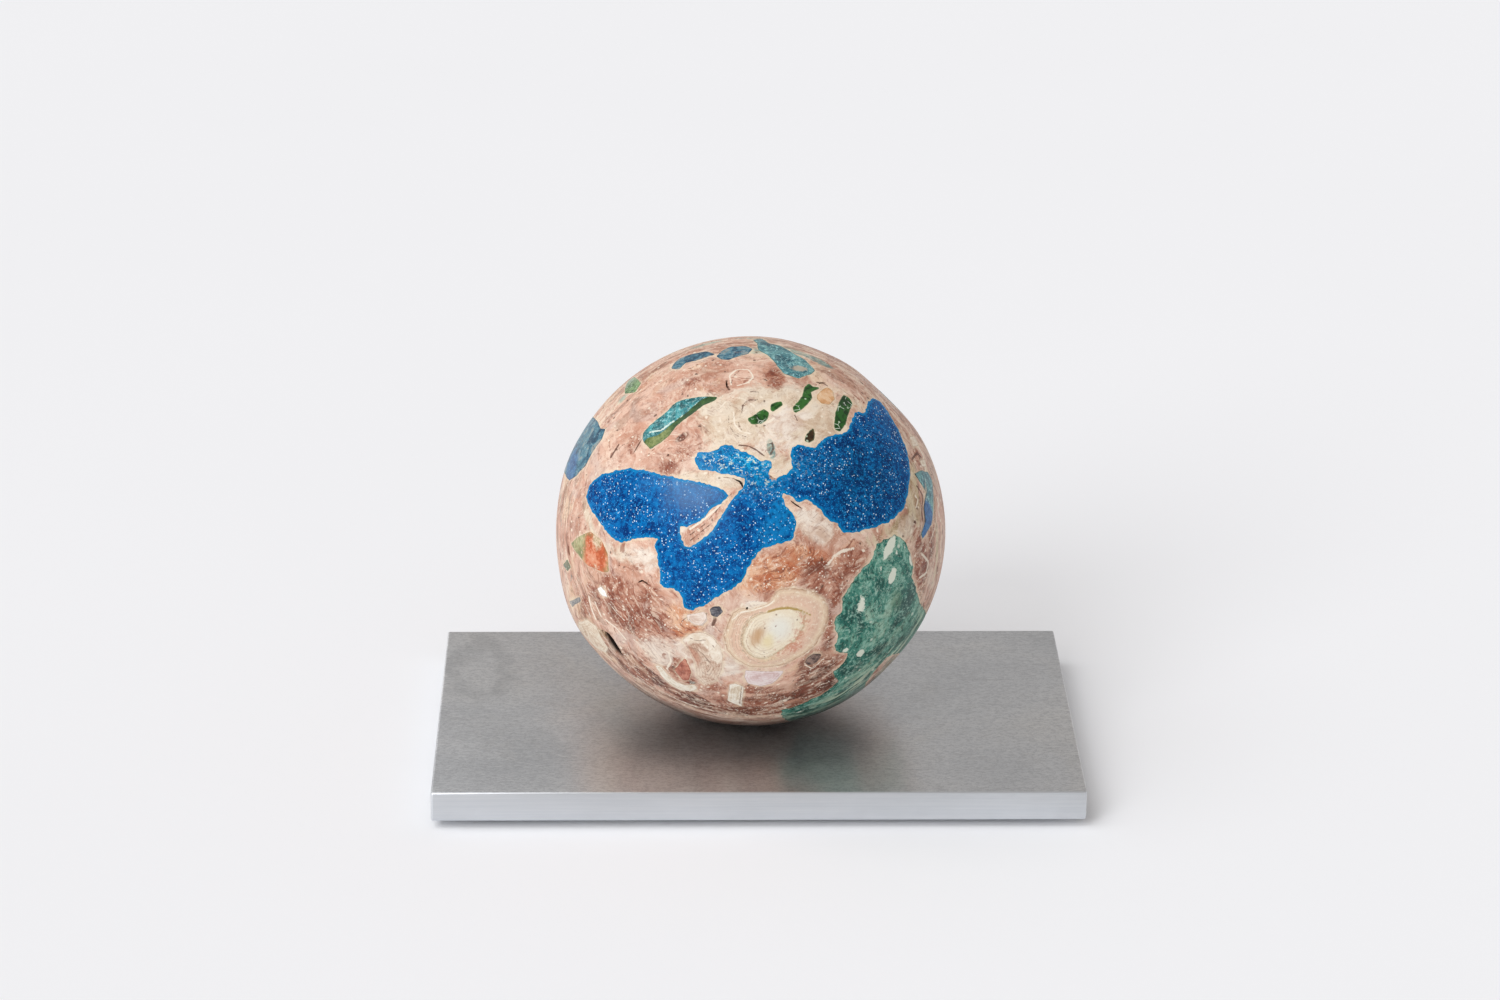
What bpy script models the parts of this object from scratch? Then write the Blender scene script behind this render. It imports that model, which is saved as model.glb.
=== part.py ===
"""A ball of pink mortar set with glass, shell and stone, ground round and standing on a metal plate.

The ball is one body of mortar with a pocket for each fragment. Each fragment is a solid of its own, cut flush
with the ball. Outlines are read face-on to the ball's best side, to the right and up from its middle, in
hundredths of its radius, so they grow with the ball. A point past 100 lies round the rim, on the far side.
"""

import math
import random

import bmesh
import bpy
from mathutils import Matrix, Vector

MM = 0.001

# The plate and the pads under it
PLATE_LENGTH = 200 * MM
PLATE_DEPTH = 125 * MM
PLATE_THICKNESS = 9.5 * MM
PLATE_EDGE_BEVEL = 1.0 * MM
PAD_RADIUS = 6 * MM
PAD_THICKNESS = 2 * MM
PAD_INSET = 16 * MM
PAD_SIDES = 24

# The ball, and the flat ground on its underside so that it stands
BALL_RADIUS = 60.8 * MM
BALL_SHIFT = -1.8 * MM
BALL_FLAT_RADIUS = 7 * MM
BALL_FINENESS = 4

# Gaps left between pieces that touch
SEAT_GAP = 0.3 * MM
POCKET_CLEARANCE = 0.3 * MM

# How deep the fragments sit at their rims
THIN_DEPTH = 3 * MM
DEEP_DEPTH = 6 * MM
CREVICE_DEPTH = 5 * MM

# The direction that the ball's best side faces, and how far off the eye stands, in ball radii
FACE_RISE = math.radians(21.9)
FACE_TURN = math.radians(-1.3)
FACE_ROLL = math.radians(-0.4)
EYE_DISTANCE = 23.1

PLATE_UNDERSIDE = PAD_THICKNESS + SEAT_GAP
PLATE_TOP = PLATE_UNDERSIDE + PLATE_THICKNESS
BALL_FOOT = PLATE_TOP + SEAT_GAP
BALL_DROP = math.sqrt(BALL_RADIUS**2 - BALL_FLAT_RADIUS**2)
BALL_CENTRE = Vector((BALL_SHIFT, 0, BALL_FOOT + BALL_DROP))

# Hand-ground unevenness: right, up, height over the radius, and spread in degrees
BUMPS = (
    (69.5, 71.9, -1.8 * MM, 11),
    (37.0, 92.5, -0.9 * MM, 9),
    (-93.5, 35.0, 0.4 * MM, 9),
    (-89.0, -45.0, 1.2 * MM, 13),
    (74.0, -67.0, -0.6 * MM, 14),
)

# Colours are linear red, green and blue, with roughness and metallic
MATERIALS = {
    "mortar": ((0.62, 0.40, 0.32), 0.45, 0.0),
    "blue_glass": ((0.004, 0.10, 0.38), 0.25, 0.0),
    "teal_glass": ((0.06, 0.26, 0.30), 0.25, 0.0),
    "green_glass": ((0.03, 0.13, 0.02), 0.15, 0.0),
    "olive_glass": ((0.14, 0.17, 0.06), 0.2, 0.0),
    "amber_glass": ((0.52, 0.16, 0.05), 0.2, 0.0),
    "green_stone": ((0.05, 0.20, 0.16), 0.35, 0.0),
    "shell": ((0.74, 0.60, 0.46), 0.35, 0.0),
    "pebble": ((0.10, 0.09, 0.10), 0.4, 0.0),
    "brick": ((0.34, 0.11, 0.07), 0.6, 0.0),
    "aluminium": ((0.42, 0.41, 0.40), 0.32, 1.0),
    "rubber": ((0.02, 0.02, 0.02), 0.8, 0.0),
}

# The blue glass in the middle: four lobes that run into one piece
BLUE_LOBES = (
    ((-84.5, 18), (-82.5, 24), (-77, 29), (-70, 30.8), (-63, 32), (-54, 31), (-44, 28.2), (-34, 26.8),
     (-22, 24), (-14.5, 21.5), (-11, 18), (-14, 14.5), (-20, 11.3), (-24, 7), (-28.5, 3.5), (-33, 1.8),
     (-36.5, 3), (-37, -4), (-46, -5.5), (-48, -3.8), (-58, -3.3), (-62, -4.8), (-66.5, -6.2), (-70, -4.2),
     (-75, 0.5), (-79, 6), (-83.3, 13)),
    ((-36.6, -1), (-34, -8), (-31.5, -8.7), (-27.5, -5.6), (-22.5, -2.6), (-19, 0.8), (-16, 5.3),
     (-13, 10.8), (-10.4, 15), (-5.2, 20.8), (-3, 24), (-1.5, 28.5), (3, 30.5), (8, 29.5), (12.5, 27.3),
     (15.5, 23), (16, 18.5), (19, 11.5), (21.8, 8.8), (23.4, 4.5), (23.2, 0), (21.5, -4), (14, -6.8),
     (6.5, -9), (0.8, -15), (-0.7, -18.5), (-5, -26.5), (-9.5, -30.2), (-20, -35.7), (-25, -39),
     (-30, -40.8), (-34, -39.3), (-35.5, -34), (-39.5, -29), (-43, -29.4), (-46.5, -27.5),
     (-46.5, -20), (-49.6, -7.5), (-47.5, -4.6), (-45, -1.5)),
    ((-28.5, 37.5), (-27, 40.2), (-18, 41), (-15.3, 43.5), (-10.5, 44.5), (-5.5, 41.3), (1.5, 38.6),
     (5, 35.8), (9, 36.7), (11.2, 34), (9.5, 31), (8, 26), (0, 25.5), (-3, 27.5), (-10, 29), (-25, 31.4),
     (-28, 34)),
    ((20.3, 38), (21.5, 42.5), (25, 43.8), (33, 42.8), (36.5, 46.5), (40, 48.3), (47, 49.5), (50.5, 52),
     (52, 58), (54, 61.3), (59, 60.8), (60.5, 66.5), (63, 68.5), (67, 66.3), (72, 59.3), (76.5, 51),
     (80, 42), (82, 31), (81, 19), (78.5, 11.5), (73, 6), (66, 2.5), (56, 0), (48.5, -1.2), (45.8, 1),
     (44.8, 4), (40.5, 5.3), (36, 10), (31.5, 15.2), (28, 16.2), (24.5, 15), (21, 18), (15, 20),
     (11, 24), (13, 27.5), (17.5, 28.6), (21.3, 32)),
)

# Fragments on the best side: name, material, depth at the rim, and outline
FRAGMENTS = (
    ("blue_glass_left_rim", "blue_glass", DEEP_DEPTH,
     ((-80.5, 58), (-78.4, 55.5), (-77.2, 52.5), (-74.8, 52.3), (-76.5, 47), (-81.5, 40.5), (-85, 33.5),
      (-90, 28.2), (-93.2, 25.7), (-95, 29), (-96.8, 34), (-93, 43), (-86, 55), (-81.5, 59.5))),
    ("blue_glass_top_left", "blue_glass", THIN_DEPTH,
     ((-40.5, 83.8), (-37, 83.2), (-33.5, 86.6), (-28, 87.8), (-22.5, 89.6), (-18.8, 90.8), (-23, 92.2),
      (-31, 90.6), (-36.5, 88.6), (-39, 86.3))),
    ("blue_glass_top", "blue_glass", THIN_DEPTH,
     ((-17.2, 89.8), (-14.3, 92.7), (-10, 94.6), (-3, 94.9), (0.5, 93.6), (-1.5, 91.3), (-7, 89.7),
      (-11.5, 88.1), (-15, 88.4))),
    ("teal_glass_top", "teal_glass", DEEP_DEPTH,
     ((4, 92.8), (3.2, 96.3), (1, 98.3), (5.5, 98.9), (9, 96.6), (15, 95.3), (22, 91.3), (28, 88),
      (33, 82.4), (31, 80.6), (24.5, 78.4), (17, 80.8), (13, 85.5), (9, 90.2))),
    ("sea_glass_long", "teal_glass", DEEP_DEPTH,
     ((-55, 45.5), (-51.4, 42), (-46.5, 45.3), (-42, 48.8), (-38, 54.2), (-31, 59.5), (-24, 64.8),
      (-18.5, 67), (-17, 68.8), (-26, 69), (-34.5, 67.6), (-39.5, 65.3), (-44.5, 60), (-51, 55),
      (-55.3, 50.5), (-55.8, 47.5))),
    ("green_glass_short", "green_glass", THIN_DEPTH,
     ((-1.3, 57.4), (1.8, 59.2), (6.7, 62.3), (9.2, 60.6), (8.4, 57.7), (5, 55.3), (0.5, 55.2))),
    ("green_glass_end", "green_glass", THIN_DEPTH,
     ((10.4, 62.6), (11, 65), (15.5, 66.5), (16, 64.9), (12.4, 62.4), (11.3, 61.7))),
    ("green_glass_bent", "green_glass", THIN_DEPTH,
     ((29.9, 75.4), (31.9, 74), (35, 73.6), (30.6, 71.5), (31.4, 68.4), (27, 63.3), (22.8, 61),
      (22, 63.5), (25, 66.8), (27.2, 69.5), (27.8, 72.8))),
    ("green_glass_bottle_edge", "green_glass", THIN_DEPTH,
     ((47.9, 69.8), (50.6, 68.3), (52.2, 65.6), (50, 60), (48.3, 55), (45.6, 51.3), (43.3, 52.4),
      (43.8, 60), (45.8, 66))),
    ("brown_glass", "pebble", THIN_DEPTH,
     ((32, 52.6), (32.8, 50), (32.2, 46.9), (30, 45.6), (28.2, 46.5), (29.4, 49.8))),
    ("green_glass_crumb", "green_glass", THIN_DEPTH,
     ((-60.2, 79), (-56.8, 75.8), (-59.5, 71.5), (-64.5, 70.8), (-64, 74.5), (-62.5, 77.5))),
    ("orange_glass", "amber_glass", THIN_DEPTH,
     ((-82.4, -0.8), (-89.6, -4.2), (-92.2, -6.8), (-87.3, -13.6), (-83.9, -17.3), (-76.4, -20.8),
      (-73.2, -20.8), (-73.8, -12), (-77, -5))),
    ("amber_pebble", "amber_glass", THIN_DEPTH,
     ((34.4, 69.8), (36.8, 71.8), (39.5, 73.6), (42.2, 71.5), (42.6, 68), (40.2, 65.3), (36.6, 65.8),
      (34.6, 67.6))),
    ("olive_chip", "olive_glass", THIN_DEPTH, ((-94.2, -15.2), (-92.6, -18.6), (-94, -20.3), (-96, -17.6))),
    ("rim_sliver", "teal_glass", THIN_DEPTH,
     ((84, 29.5), (87.5, 31), (91, 30.3), (93.2, 26.4), (94, 18), (93.9, 10), (93, 3.5), (91.4, 0.8),
      (88.4, -4.4), (87.6, -1.8), (89.6, 4.2), (88.8, 12), (90.2, 20), (87, 25))),
    ("green_stone", "green_stone", DEEP_DEPTH,
     ((74, -2.4), (79, -4.6), (81.5, -10.5), (83.8, -17.5), (82.8, -24), (85.5, -30.5), (86.6, -37),
      (89.8, -41), (89.5, -48), (84, -57), (78.5, -62.5), (75, -63.5), (70, -65.5), (66.5, -69.5),
      (63, -73.5), (59, -79), (57, -83), (48, -89.5), (37, -94.6), (25, -98), (18, -97.2), (15.5, -94.5),
      (16.5, -92), (21, -91), (30, -87.2), (38, -83.4), (45.5, -77.2), (42.8, -75), (42.3, -72.6),
      (46, -70.2), (48.6, -67), (49.8, -63.2), (44.5, -62), (42.8, -59.6), (44.8, -54.3), (43.6, -47.5),
      (44.2, -44.2), (46.8, -41.8), (47.3, -34.5), (51.5, -26.8), (58.4, -18.2), (62, -14.6),
      (65.2, -6.8), (68, -4.3))),
    ("shell_large", "shell", DEEP_DEPTH,
     ((11.9, -33), (15, -30), (22, -29.4), (30, -30.6), (36, -33.5), (39.6, -38), (40, -45),
      (37.8, -51), (33.5, -58.5), (27.3, -63.6), (18, -68.6), (8.4, -70.3), (-1, -69.7), (-7, -66.5),
      (-12, -61.8), (-14, -54.5), (-12, -48), (-8.8, -41.5), (-3.6, -39.6), (-0.8, -41.3), (6, -38.4),
      (10.5, -36.4))),
    ("pearl_flake", "shell", THIN_DEPTH,
     ((-2.4, -72), (3, -72.2), (8, -72.6), (16.4, -72.2), (14.5, -75), (10.5, -78.5), (5, -79.8),
      (-1.2, -78), (-2.9, -75))),
    ("shell_tab", "shell", THIN_DEPTH, ((-10.5, -79), (-7.6, -78.8), (-4.2, -80.2), (-5, -90), (-11.6, -87.3))),
    ("shell_crescent", "shell", THIN_DEPTH,
     ((-33, -43.5), (-28, -42.8), (-24, -42), (-22.8, -43.6), (-22.6, -46), (-25, -48.6), (-29, -48),
      (-32, -46))),
    ("shell_swirl", "shell", DEEP_DEPTH,
     ((-35, -56), (-31, -53), (-26, -52), (-20, -54.3), (-15.8, -59), (-14.5, -64), (-14.5, -71),
      (-18, -77.5), (-24, -79), (-27.5, -75), (-28.5, -68), (-32, -61.5))),
    ("shell_hook", "shell", THIN_DEPTH,
     ((-48.5, -69.5), (-46.5, -69.8), (-42.5, -74.5), (-38.5, -77.9), (-34, -79.6), (-29, -79.4),
      (-27.8, -80.9), (-30, -82.2), (-36, -81.8), (-41, -79), (-45.5, -74.8))),
    ("shell_long", "shell", THIN_DEPTH,
     ((-86.8, -46.6), (-83.3, -45.8), (-79.5, -48.8), (-76.8, -54.6), (-73.4, -60), (-74.5, -62),
      (-79, -59), (-84, -53), (-86.5, -49.5))),
    ("grey_pebble", "pebble", THIN_DEPTH,
     ((-20.5, -40.5), (-19, -39.5), (-16, -39.3), (-14.8, -41.6), (-17.3, -44.2), (-20, -43.2))),
    ("plum_pebble", "pebble", THIN_DEPTH,
     ((29.6, -65.4), (32.5, -63.6), (36, -63.8), (33.4, -67.6), (30, -68.8), (28.4, -67.6))),
    ("grey_chip", "pebble", THIN_DEPTH, ((-91.6, -36.3), (-87.5, -34.2), (-87.2, -35.6), (-90.5, -38))),
    ("brick_shard", "brick", THIN_DEPTH,
     ((-33.8, -66), (-38.8, -71.6), (-36.4, -74.8), (-34.6, -76.8), (-31.8, -76.6), (-31, -72))),
    ("white_pebble", "shell", THIN_DEPTH, ((-78.6, -30), (-77, -28.8), (-74.6, -31.6), (-74, -34), (-76.8, -32.8))),
    ("cream_pebble", "shell", THIN_DEPTH, ((82, 48), (84.2, 48.4), (86.3, 44.6), (83.4, 43.4))),
    ("cream_bean", "shell", THIN_DEPTH, ((87, 36), (89.4, 36.4), (90.2, 33.6), (88.3, 33.2))),
)

# The deep cleft in the mortar at the lower left
CREVICE = ((-74.7, -52), (-72.2, -53.2), (-69.3, -57.3), (-65, -64.6), (-68.6, -62.6), (-73.8, -54.6))

# Fragments on the far side: name, material, depth at the rim, turn from the best side and rise in degrees,
# length and width in hundredths of the radius, tilt in degrees, and number of corners
FAR_FRAGMENTS = (
    ("blue_glass_back", "blue_glass", DEEP_DEPTH, 168, 14, 74, 44, 20, 14),
    ("blue_glass_back_low", "blue_glass", DEEP_DEPTH, 222, -28, 46, 24, -35, 10),
    ("blue_glass_right", "blue_glass", THIN_DEPTH, 112, 32, 34, 20, 55, 9),
    ("teal_glass_back", "teal_glass", THIN_DEPTH, 205, 34, 40, 17, 12, 9),
    ("green_glass_back", "green_glass", THIN_DEPTH, 138, 42, 22, 7, 65, 6),
    ("green_glass_back_end", "green_glass", THIN_DEPTH, 236, 8, 16, 6, -70, 6),
    ("green_stone_back", "green_stone", DEEP_DEPTH, 128, -22, 52, 34, -50, 12),
    ("shell_back", "shell", DEEP_DEPTH, 180, -36, 46, 32, 8, 12),
    ("shell_back_high", "shell", THIN_DEPTH, 175, 58, 30, 18, -25, 9),
    ("shell_back_left", "shell", THIN_DEPTH, 256, -42, 26, 12, 40, 8),
    ("amber_glass_back", "amber_glass", THIN_DEPTH, 148, -8, 12, 8, 10, 6),
    ("pebble_back", "pebble", THIN_DEPTH, 203, -6, 14, 10, -15, 7),
)
FAR_UNEVENNESS = 0.16


def clear_scene():
    for obj in list(bpy.data.objects):
        bpy.data.objects.remove(obj, do_unlink=True)


def make_collection(name, hidden=False):
    collection = bpy.data.collections.new(name)
    collection.hide_render = hidden
    bpy.context.scene.collection.children.link(collection)
    return collection


def make_material(name):
    colour, roughness, metallic = MATERIALS[name]
    material = bpy.data.materials.get(name) or bpy.data.materials.new(name)
    material.use_nodes = True
    shader = material.node_tree.nodes["Principled BSDF"]
    shader.inputs["Base Color"].default_value = (*colour, 1.0)
    shader.inputs["Roughness"].default_value = roughness
    shader.inputs["Metallic"].default_value = metallic
    return material


def add_object(name, mesh, collection, material=None, location=(0, 0, 0)):
    obj = bpy.data.objects.new(name, mesh)
    obj.location = location
    collection.objects.link(obj)
    if material:
        mesh.materials.clear()
        mesh.materials.append(make_material(material))
    return obj


def face_axes():
    """The directions right, up and toward the eye, seen face-on to the ball's best side."""
    turn = Matrix.Rotation(FACE_TURN, 3, "Z")
    rise = Matrix.Rotation(-FACE_RISE, 3, "X")
    roll = Matrix.Rotation(FACE_ROLL, 3, "Y")
    axes = turn @ rise @ roll
    return axes @ Vector((1, 0, 0)), axes @ Vector((0, 0, 1)), axes @ Vector((0, -1, 0))


def direction_face_on(right, up):
    """Unit direction from the ball's middle to the point of its surface seen at (right, up)."""
    reach = math.hypot(right, up) / 100
    far_side = reach > 1
    shown = 2 - reach if far_side else reach
    squeeze = shown / max(reach, 1e-9) / 100
    inside = EYE_DISTANCE**2 - shown**2 * (EYE_DISTANCE**2 - 1)
    root = math.sqrt(max(inside, 0.0))
    share = (EYE_DISTANCE**2 + (root if far_side else -root)) / (shown**2 + EYE_DISTANCE**2)
    axis_right, axis_up, axis_eye = face_axes()
    point = axis_right * (right * squeeze * share) + axis_up * (up * squeeze * share)
    return (point + axis_eye * (EYE_DISTANCE * (1 - share))).normalized()


def far_directions(turn, rise, length, width, tilt, corners, seed):
    """Corner directions of an uneven oval fragment, by where it sits round the ball."""
    chance = random.Random(seed)
    spin = Matrix.Rotation(math.radians(turn), 3, "Z") @ Matrix.Rotation(-math.radians(rise), 3, "X")
    found = []
    for corner in range(corners):
        angle = 2 * math.pi * corner / corners
        swell = 1 + FAR_UNEVENNESS * chance.uniform(-1, 1)
        across = length / 200 * swell * math.cos(angle)
        along = width / 200 * swell * math.sin(angle)
        lean = math.radians(tilt)
        sideways = across * math.cos(lean) - along * math.sin(lean)
        upward = across * math.sin(lean) + along * math.cos(lean)
        found.append((spin @ Vector((sideways, -1, upward))).normalized())
    return found


def grown(directions, middle, growth):
    """The same outline moved outwards by growth, in metres at the ball's surface."""
    step = growth / BALL_RADIUS
    moved = []
    count = len(directions)
    for i, here in enumerate(directions):
        before = (here - directions[i - 1]).normalized()
        after = (directions[(i + 1) % count] - here).normalized()
        outward_before = before.cross(here).normalized()
        outward_after = after.cross(here).normalized()
        mitre = (outward_before + outward_after) / max(1 + outward_before.dot(outward_after), 0.5)
        moved.append((here + mitre * step).normalized())
    return moved


def runs_clockwise(directions, middle):
    area = sum((directions[i - 1].cross(here)).dot(middle) for i, here in enumerate(directions))
    return area < 0


def make_cutter(name, directions, depth, growth, collection):
    """A wedge from the ball's middle outwards, with the outline as its section and a flat inner end."""
    middle = sum(directions, Vector()).normalized()
    if runs_clockwise(directions, middle):
        directions = directions[::-1]
    if growth:
        directions = grown(directions, middle, growth)
    floor = (BALL_RADIUS - depth - growth) * min(d.dot(middle) for d in directions)
    ceiling = BALL_RADIUS * 1.08
    mesh = bpy.data.meshes.new(name)
    bm = bmesh.new()
    ring = [bm.verts.new(d * (floor / d.dot(middle))) for d in directions]
    inner_end = bm.faces.new(ring)
    made = bmesh.ops.extrude_face_region(bm, geom=[inner_end])
    outer = [item for item in made["geom"] if isinstance(item, bmesh.types.BMVert)]
    bmesh.ops.scale(bm, vec=Vector((1, 1, 1)) * (ceiling / floor), verts=outer)
    bmesh.ops.recalc_face_normals(bm, faces=bm.faces)
    bm.to_mesh(mesh)
    bm.free()
    cutter = add_object(name, mesh, collection, location=BALL_CENTRE)
    cutter.hide_render = True
    cutter.display_type = "WIRE"
    return cutter


def bumped_radius(direction):
    radius = BALL_RADIUS
    for right, up, height, spread in BUMPS:
        apart = math.degrees(direction.angle(direction_face_on(right, up)))
        radius += height * math.exp(-((apart / spread) ** 2))
    return radius


def make_ball_mesh():
    """The whole ground ball before its pockets are cut, with its flat underside."""
    mesh = bpy.data.meshes.new("whole_ball")
    bm = bmesh.new()
    bmesh.ops.create_icosphere(bm, subdivisions=BALL_FINENESS, radius=BALL_RADIUS)
    for vert in bm.verts:
        direction = vert.co.normalized()
        vert.co = direction * bumped_radius(direction)
    cut = bmesh.ops.bisect_plane(
        bm,
        geom=[*bm.verts, *bm.edges, *bm.faces],
        plane_co=(0, 0, -BALL_DROP),
        plane_no=(0, 0, -1),
        clear_outer=True,
    )
    rim = [item for item in cut["geom_cut"] if isinstance(item, bmesh.types.BMEdge)]
    bmesh.ops.holes_fill(bm, edges=rim, sides=0)
    bmesh.ops.recalc_face_normals(bm, faces=bm.faces)
    bm.to_mesh(mesh)
    bm.free()
    return mesh


def add_boolean(obj, cutter, operation):
    modifier = obj.modifiers.new(cutter.name, "BOOLEAN")
    modifier.operation = operation
    modifier.solver = "EXACT"
    modifier.object = cutter
    return modifier


def join_lobes(outlines, name, growth, cutters):
    """One cutter from several outlines that run into each other."""
    lobes = []
    for number, outline in enumerate(outlines):
        directions = [direction_face_on(right, up) for right, up in outline]
        lobes.append(make_cutter(f"{name}_lobe_{number}", directions, DEEP_DEPTH, growth, cutters))
    for lobe in lobes[1:]:
        add_boolean(lobes[0], lobe, "UNION")
    return lobes[0]


def set_fragment(name, material, whole, fragment_cutter, pocket_cutter, ball, parts):
    """The fragment is what its cutter shares with the whole ball, and the mortar gets the wider pocket."""
    fragment = add_object(name, whole.copy(), parts, material, BALL_CENTRE)
    add_boolean(fragment, fragment_cutter, "INTERSECT")
    add_boolean(ball, pocket_cutter, "DIFFERENCE")


def make_ball(parts, cutters):
    whole = make_ball_mesh()
    ball = add_object("ball", whole.copy(), parts, "mortar", BALL_CENTRE)

    blue = join_lobes(BLUE_LOBES, "blue_glass", 0, cutters)
    blue_pocket = join_lobes(BLUE_LOBES, "blue_pocket", POCKET_CLEARANCE, cutters)
    set_fragment("blue_glass", "blue_glass", whole, blue, blue_pocket, ball, parts)

    outlines = []
    for name, material, depth, outline in FRAGMENTS:
        outlines.append((name, material, depth, [direction_face_on(right, up) for right, up in outline]))
    for seed, (name, material, depth, *place) in enumerate(FAR_FRAGMENTS):
        outlines.append((name, material, depth, far_directions(*place, seed)))
    for name, material, depth, directions in outlines:
        cutter = make_cutter(f"{name}_cutter", directions, depth, 0, cutters)
        pocket = make_cutter(f"{name}_pocket", directions, depth, POCKET_CLEARANCE, cutters)
        set_fragment(name, material, whole, cutter, pocket, ball, parts)

    crevice = [direction_face_on(right, up) for right, up in CREVICE]
    add_boolean(ball, make_cutter("crevice_cutter", crevice, CREVICE_DEPTH, 0, cutters), "DIFFERENCE")
    bpy.data.meshes.remove(whole)


def make_plate(parts):
    mesh = bpy.data.meshes.new("plate")
    bm = bmesh.new()
    bmesh.ops.create_cube(bm, size=1)
    bmesh.ops.scale(bm, vec=(PLATE_LENGTH, PLATE_DEPTH, PLATE_THICKNESS), verts=bm.verts)
    bm.to_mesh(mesh)
    bm.free()
    middle = PLATE_UNDERSIDE + PLATE_THICKNESS / 2
    plate = add_object("plate", mesh, parts, "aluminium", (0, 0, middle))
    bevel = plate.modifiers.new("worn edges", "BEVEL")
    bevel.width = PLATE_EDGE_BEVEL
    bevel.segments = 2


def make_pads(parts):
    across = PLATE_LENGTH / 2 - PAD_INSET
    along = PLATE_DEPTH / 2 - PAD_INSET
    for side, x in (("left", -across), ("right", across)):
        for end, y in (("front", -along), ("back", along)):
            mesh = bpy.data.meshes.new(f"pad_{end}_{side}")
            bm = bmesh.new()
            bmesh.ops.create_cone(bm, cap_ends=True, segments=PAD_SIDES, radius1=PAD_RADIUS,
                                  radius2=PAD_RADIUS, depth=PAD_THICKNESS)
            bm.to_mesh(mesh)
            bm.free()
            add_object(f"pad_{end}_{side}", mesh, parts, "rubber", (x, y, PAD_THICKNESS / 2))


def shade(parts):
    for obj in parts.objects:
        obj.data.shade_smooth()
        obj.data.set_sharp_from_angle(angle=math.radians(30))


def build():
    clear_scene()
    parts = make_collection("inlaid_ball_on_plate")
    cutters = make_collection("cutters", hidden=True)
    make_ball(parts, cutters)
    make_plate(parts)
    make_pads(parts)
    shade(parts)


build()
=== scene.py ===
import math

import bmesh
import bpy
import numpy as np
from mathutils import Matrix, Vector, noise
from mathutils.kdtree import KDTree


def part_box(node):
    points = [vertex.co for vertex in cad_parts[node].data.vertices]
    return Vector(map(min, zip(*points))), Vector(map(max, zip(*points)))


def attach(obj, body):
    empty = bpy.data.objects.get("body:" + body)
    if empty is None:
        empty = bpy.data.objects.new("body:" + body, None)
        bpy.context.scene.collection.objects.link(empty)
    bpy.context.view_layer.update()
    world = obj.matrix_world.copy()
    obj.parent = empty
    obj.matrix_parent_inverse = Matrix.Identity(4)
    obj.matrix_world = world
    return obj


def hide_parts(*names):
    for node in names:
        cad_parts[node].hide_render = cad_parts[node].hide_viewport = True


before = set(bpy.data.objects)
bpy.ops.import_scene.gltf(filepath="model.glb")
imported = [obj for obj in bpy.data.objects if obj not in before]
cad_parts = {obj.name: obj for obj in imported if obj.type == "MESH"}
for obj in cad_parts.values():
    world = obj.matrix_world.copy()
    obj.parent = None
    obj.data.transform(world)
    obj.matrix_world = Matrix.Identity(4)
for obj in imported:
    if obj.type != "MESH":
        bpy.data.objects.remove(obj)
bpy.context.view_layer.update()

MM = 0.001

# The ball's own sizes, in metres, as its solid has them
BALL_RADIUS = 60.8 * MM
BALL_FLAT_RADIUS = 7 * MM
PLATE_LOW, PLATE_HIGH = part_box("plate")
BALL_DROP = math.sqrt(BALL_RADIUS**2 - BALL_FLAT_RADIUS**2)
BALL_CENTRE = Vector((-1.8 * MM, 0, PLATE_HIGH.z + 0.3 * MM + BALL_DROP))

# Where the ball's best side faces, and the eye's distance in ball radii
FACE_RISE = math.radians(21.9)
FACE_TURN = math.radians(-1.3)
FACE_ROLL = math.radians(-0.4)
EYE_DISTANCE = 23.1

# Hand-ground unevenness: right, up, height, and spread in degrees
BUMPS = (
    (69.5, 71.9, -1.8 * MM, 11),
    (37.0, 92.5, -0.9 * MM, 9),
    (-93.5, 35.0, 0.4 * MM, 9),
    (-89.0, -45.0, 1.2 * MM, 13),
    (74.0, -67.0, -0.6 * MM, 14),
)
ROUNDS = 2

# How deep below the ball's surface a point still counts as its outside, and how squarely a face there looks out
SKIN = 2.4 * MM
LOOKS_OUT = 0.8

# The slight waves that hand grinding leaves
WAVES = 0.06 * MM


# ---------------------------------------------------------------- places on the ball

def face_axes():
    turn = Matrix.Rotation(FACE_TURN, 3, "Z")
    rise = Matrix.Rotation(-FACE_RISE, 3, "X")
    roll = Matrix.Rotation(FACE_ROLL, 3, "Y")
    axes = turn @ rise @ roll
    return axes @ Vector((1, 0, 0)), axes @ Vector((0, 0, 1)), axes @ Vector((0, -1, 0))


AXIS_RIGHT, AXIS_UP, AXIS_EYE = face_axes()
FACE_TURNED = Matrix((AXIS_RIGHT, AXIS_UP, AXIS_EYE)).transposed().to_euler()


def spot(right, up):
    """Unit direction from the ball's middle to the point of its surface seen at (right, up)."""
    reach = math.hypot(right, up) / 100
    far_side = reach > 1
    shown = 2 - reach if far_side else reach
    squeeze = shown / max(reach, 1e-9) / 100
    inside = EYE_DISTANCE**2 - shown**2 * (EYE_DISTANCE**2 - 1)
    root = math.sqrt(max(inside, 0.0))
    share = (EYE_DISTANCE**2 + (root if far_side else -root)) / (shown**2 + EYE_DISTANCE**2)
    point = AXIS_RIGHT * (right * squeeze * share) + AXIS_UP * (up * squeeze * share)
    return (point + AXIS_EYE * (EYE_DISTANCE * (1 - share))).normalized()


BUMP_SPOTS = [(spot(right, up), height, spread) for right, up, height, spread in BUMPS]


def smooth_radius(direction):
    radius = BALL_RADIUS
    for middle, height, spread in BUMP_SPOTS:
        apart = math.degrees(direction.angle(middle, 0.0))
        radius += height * math.exp(-((apart / spread) ** 2))
    return radius


# ---------------------------------------------------------------- small modelling helpers

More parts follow.
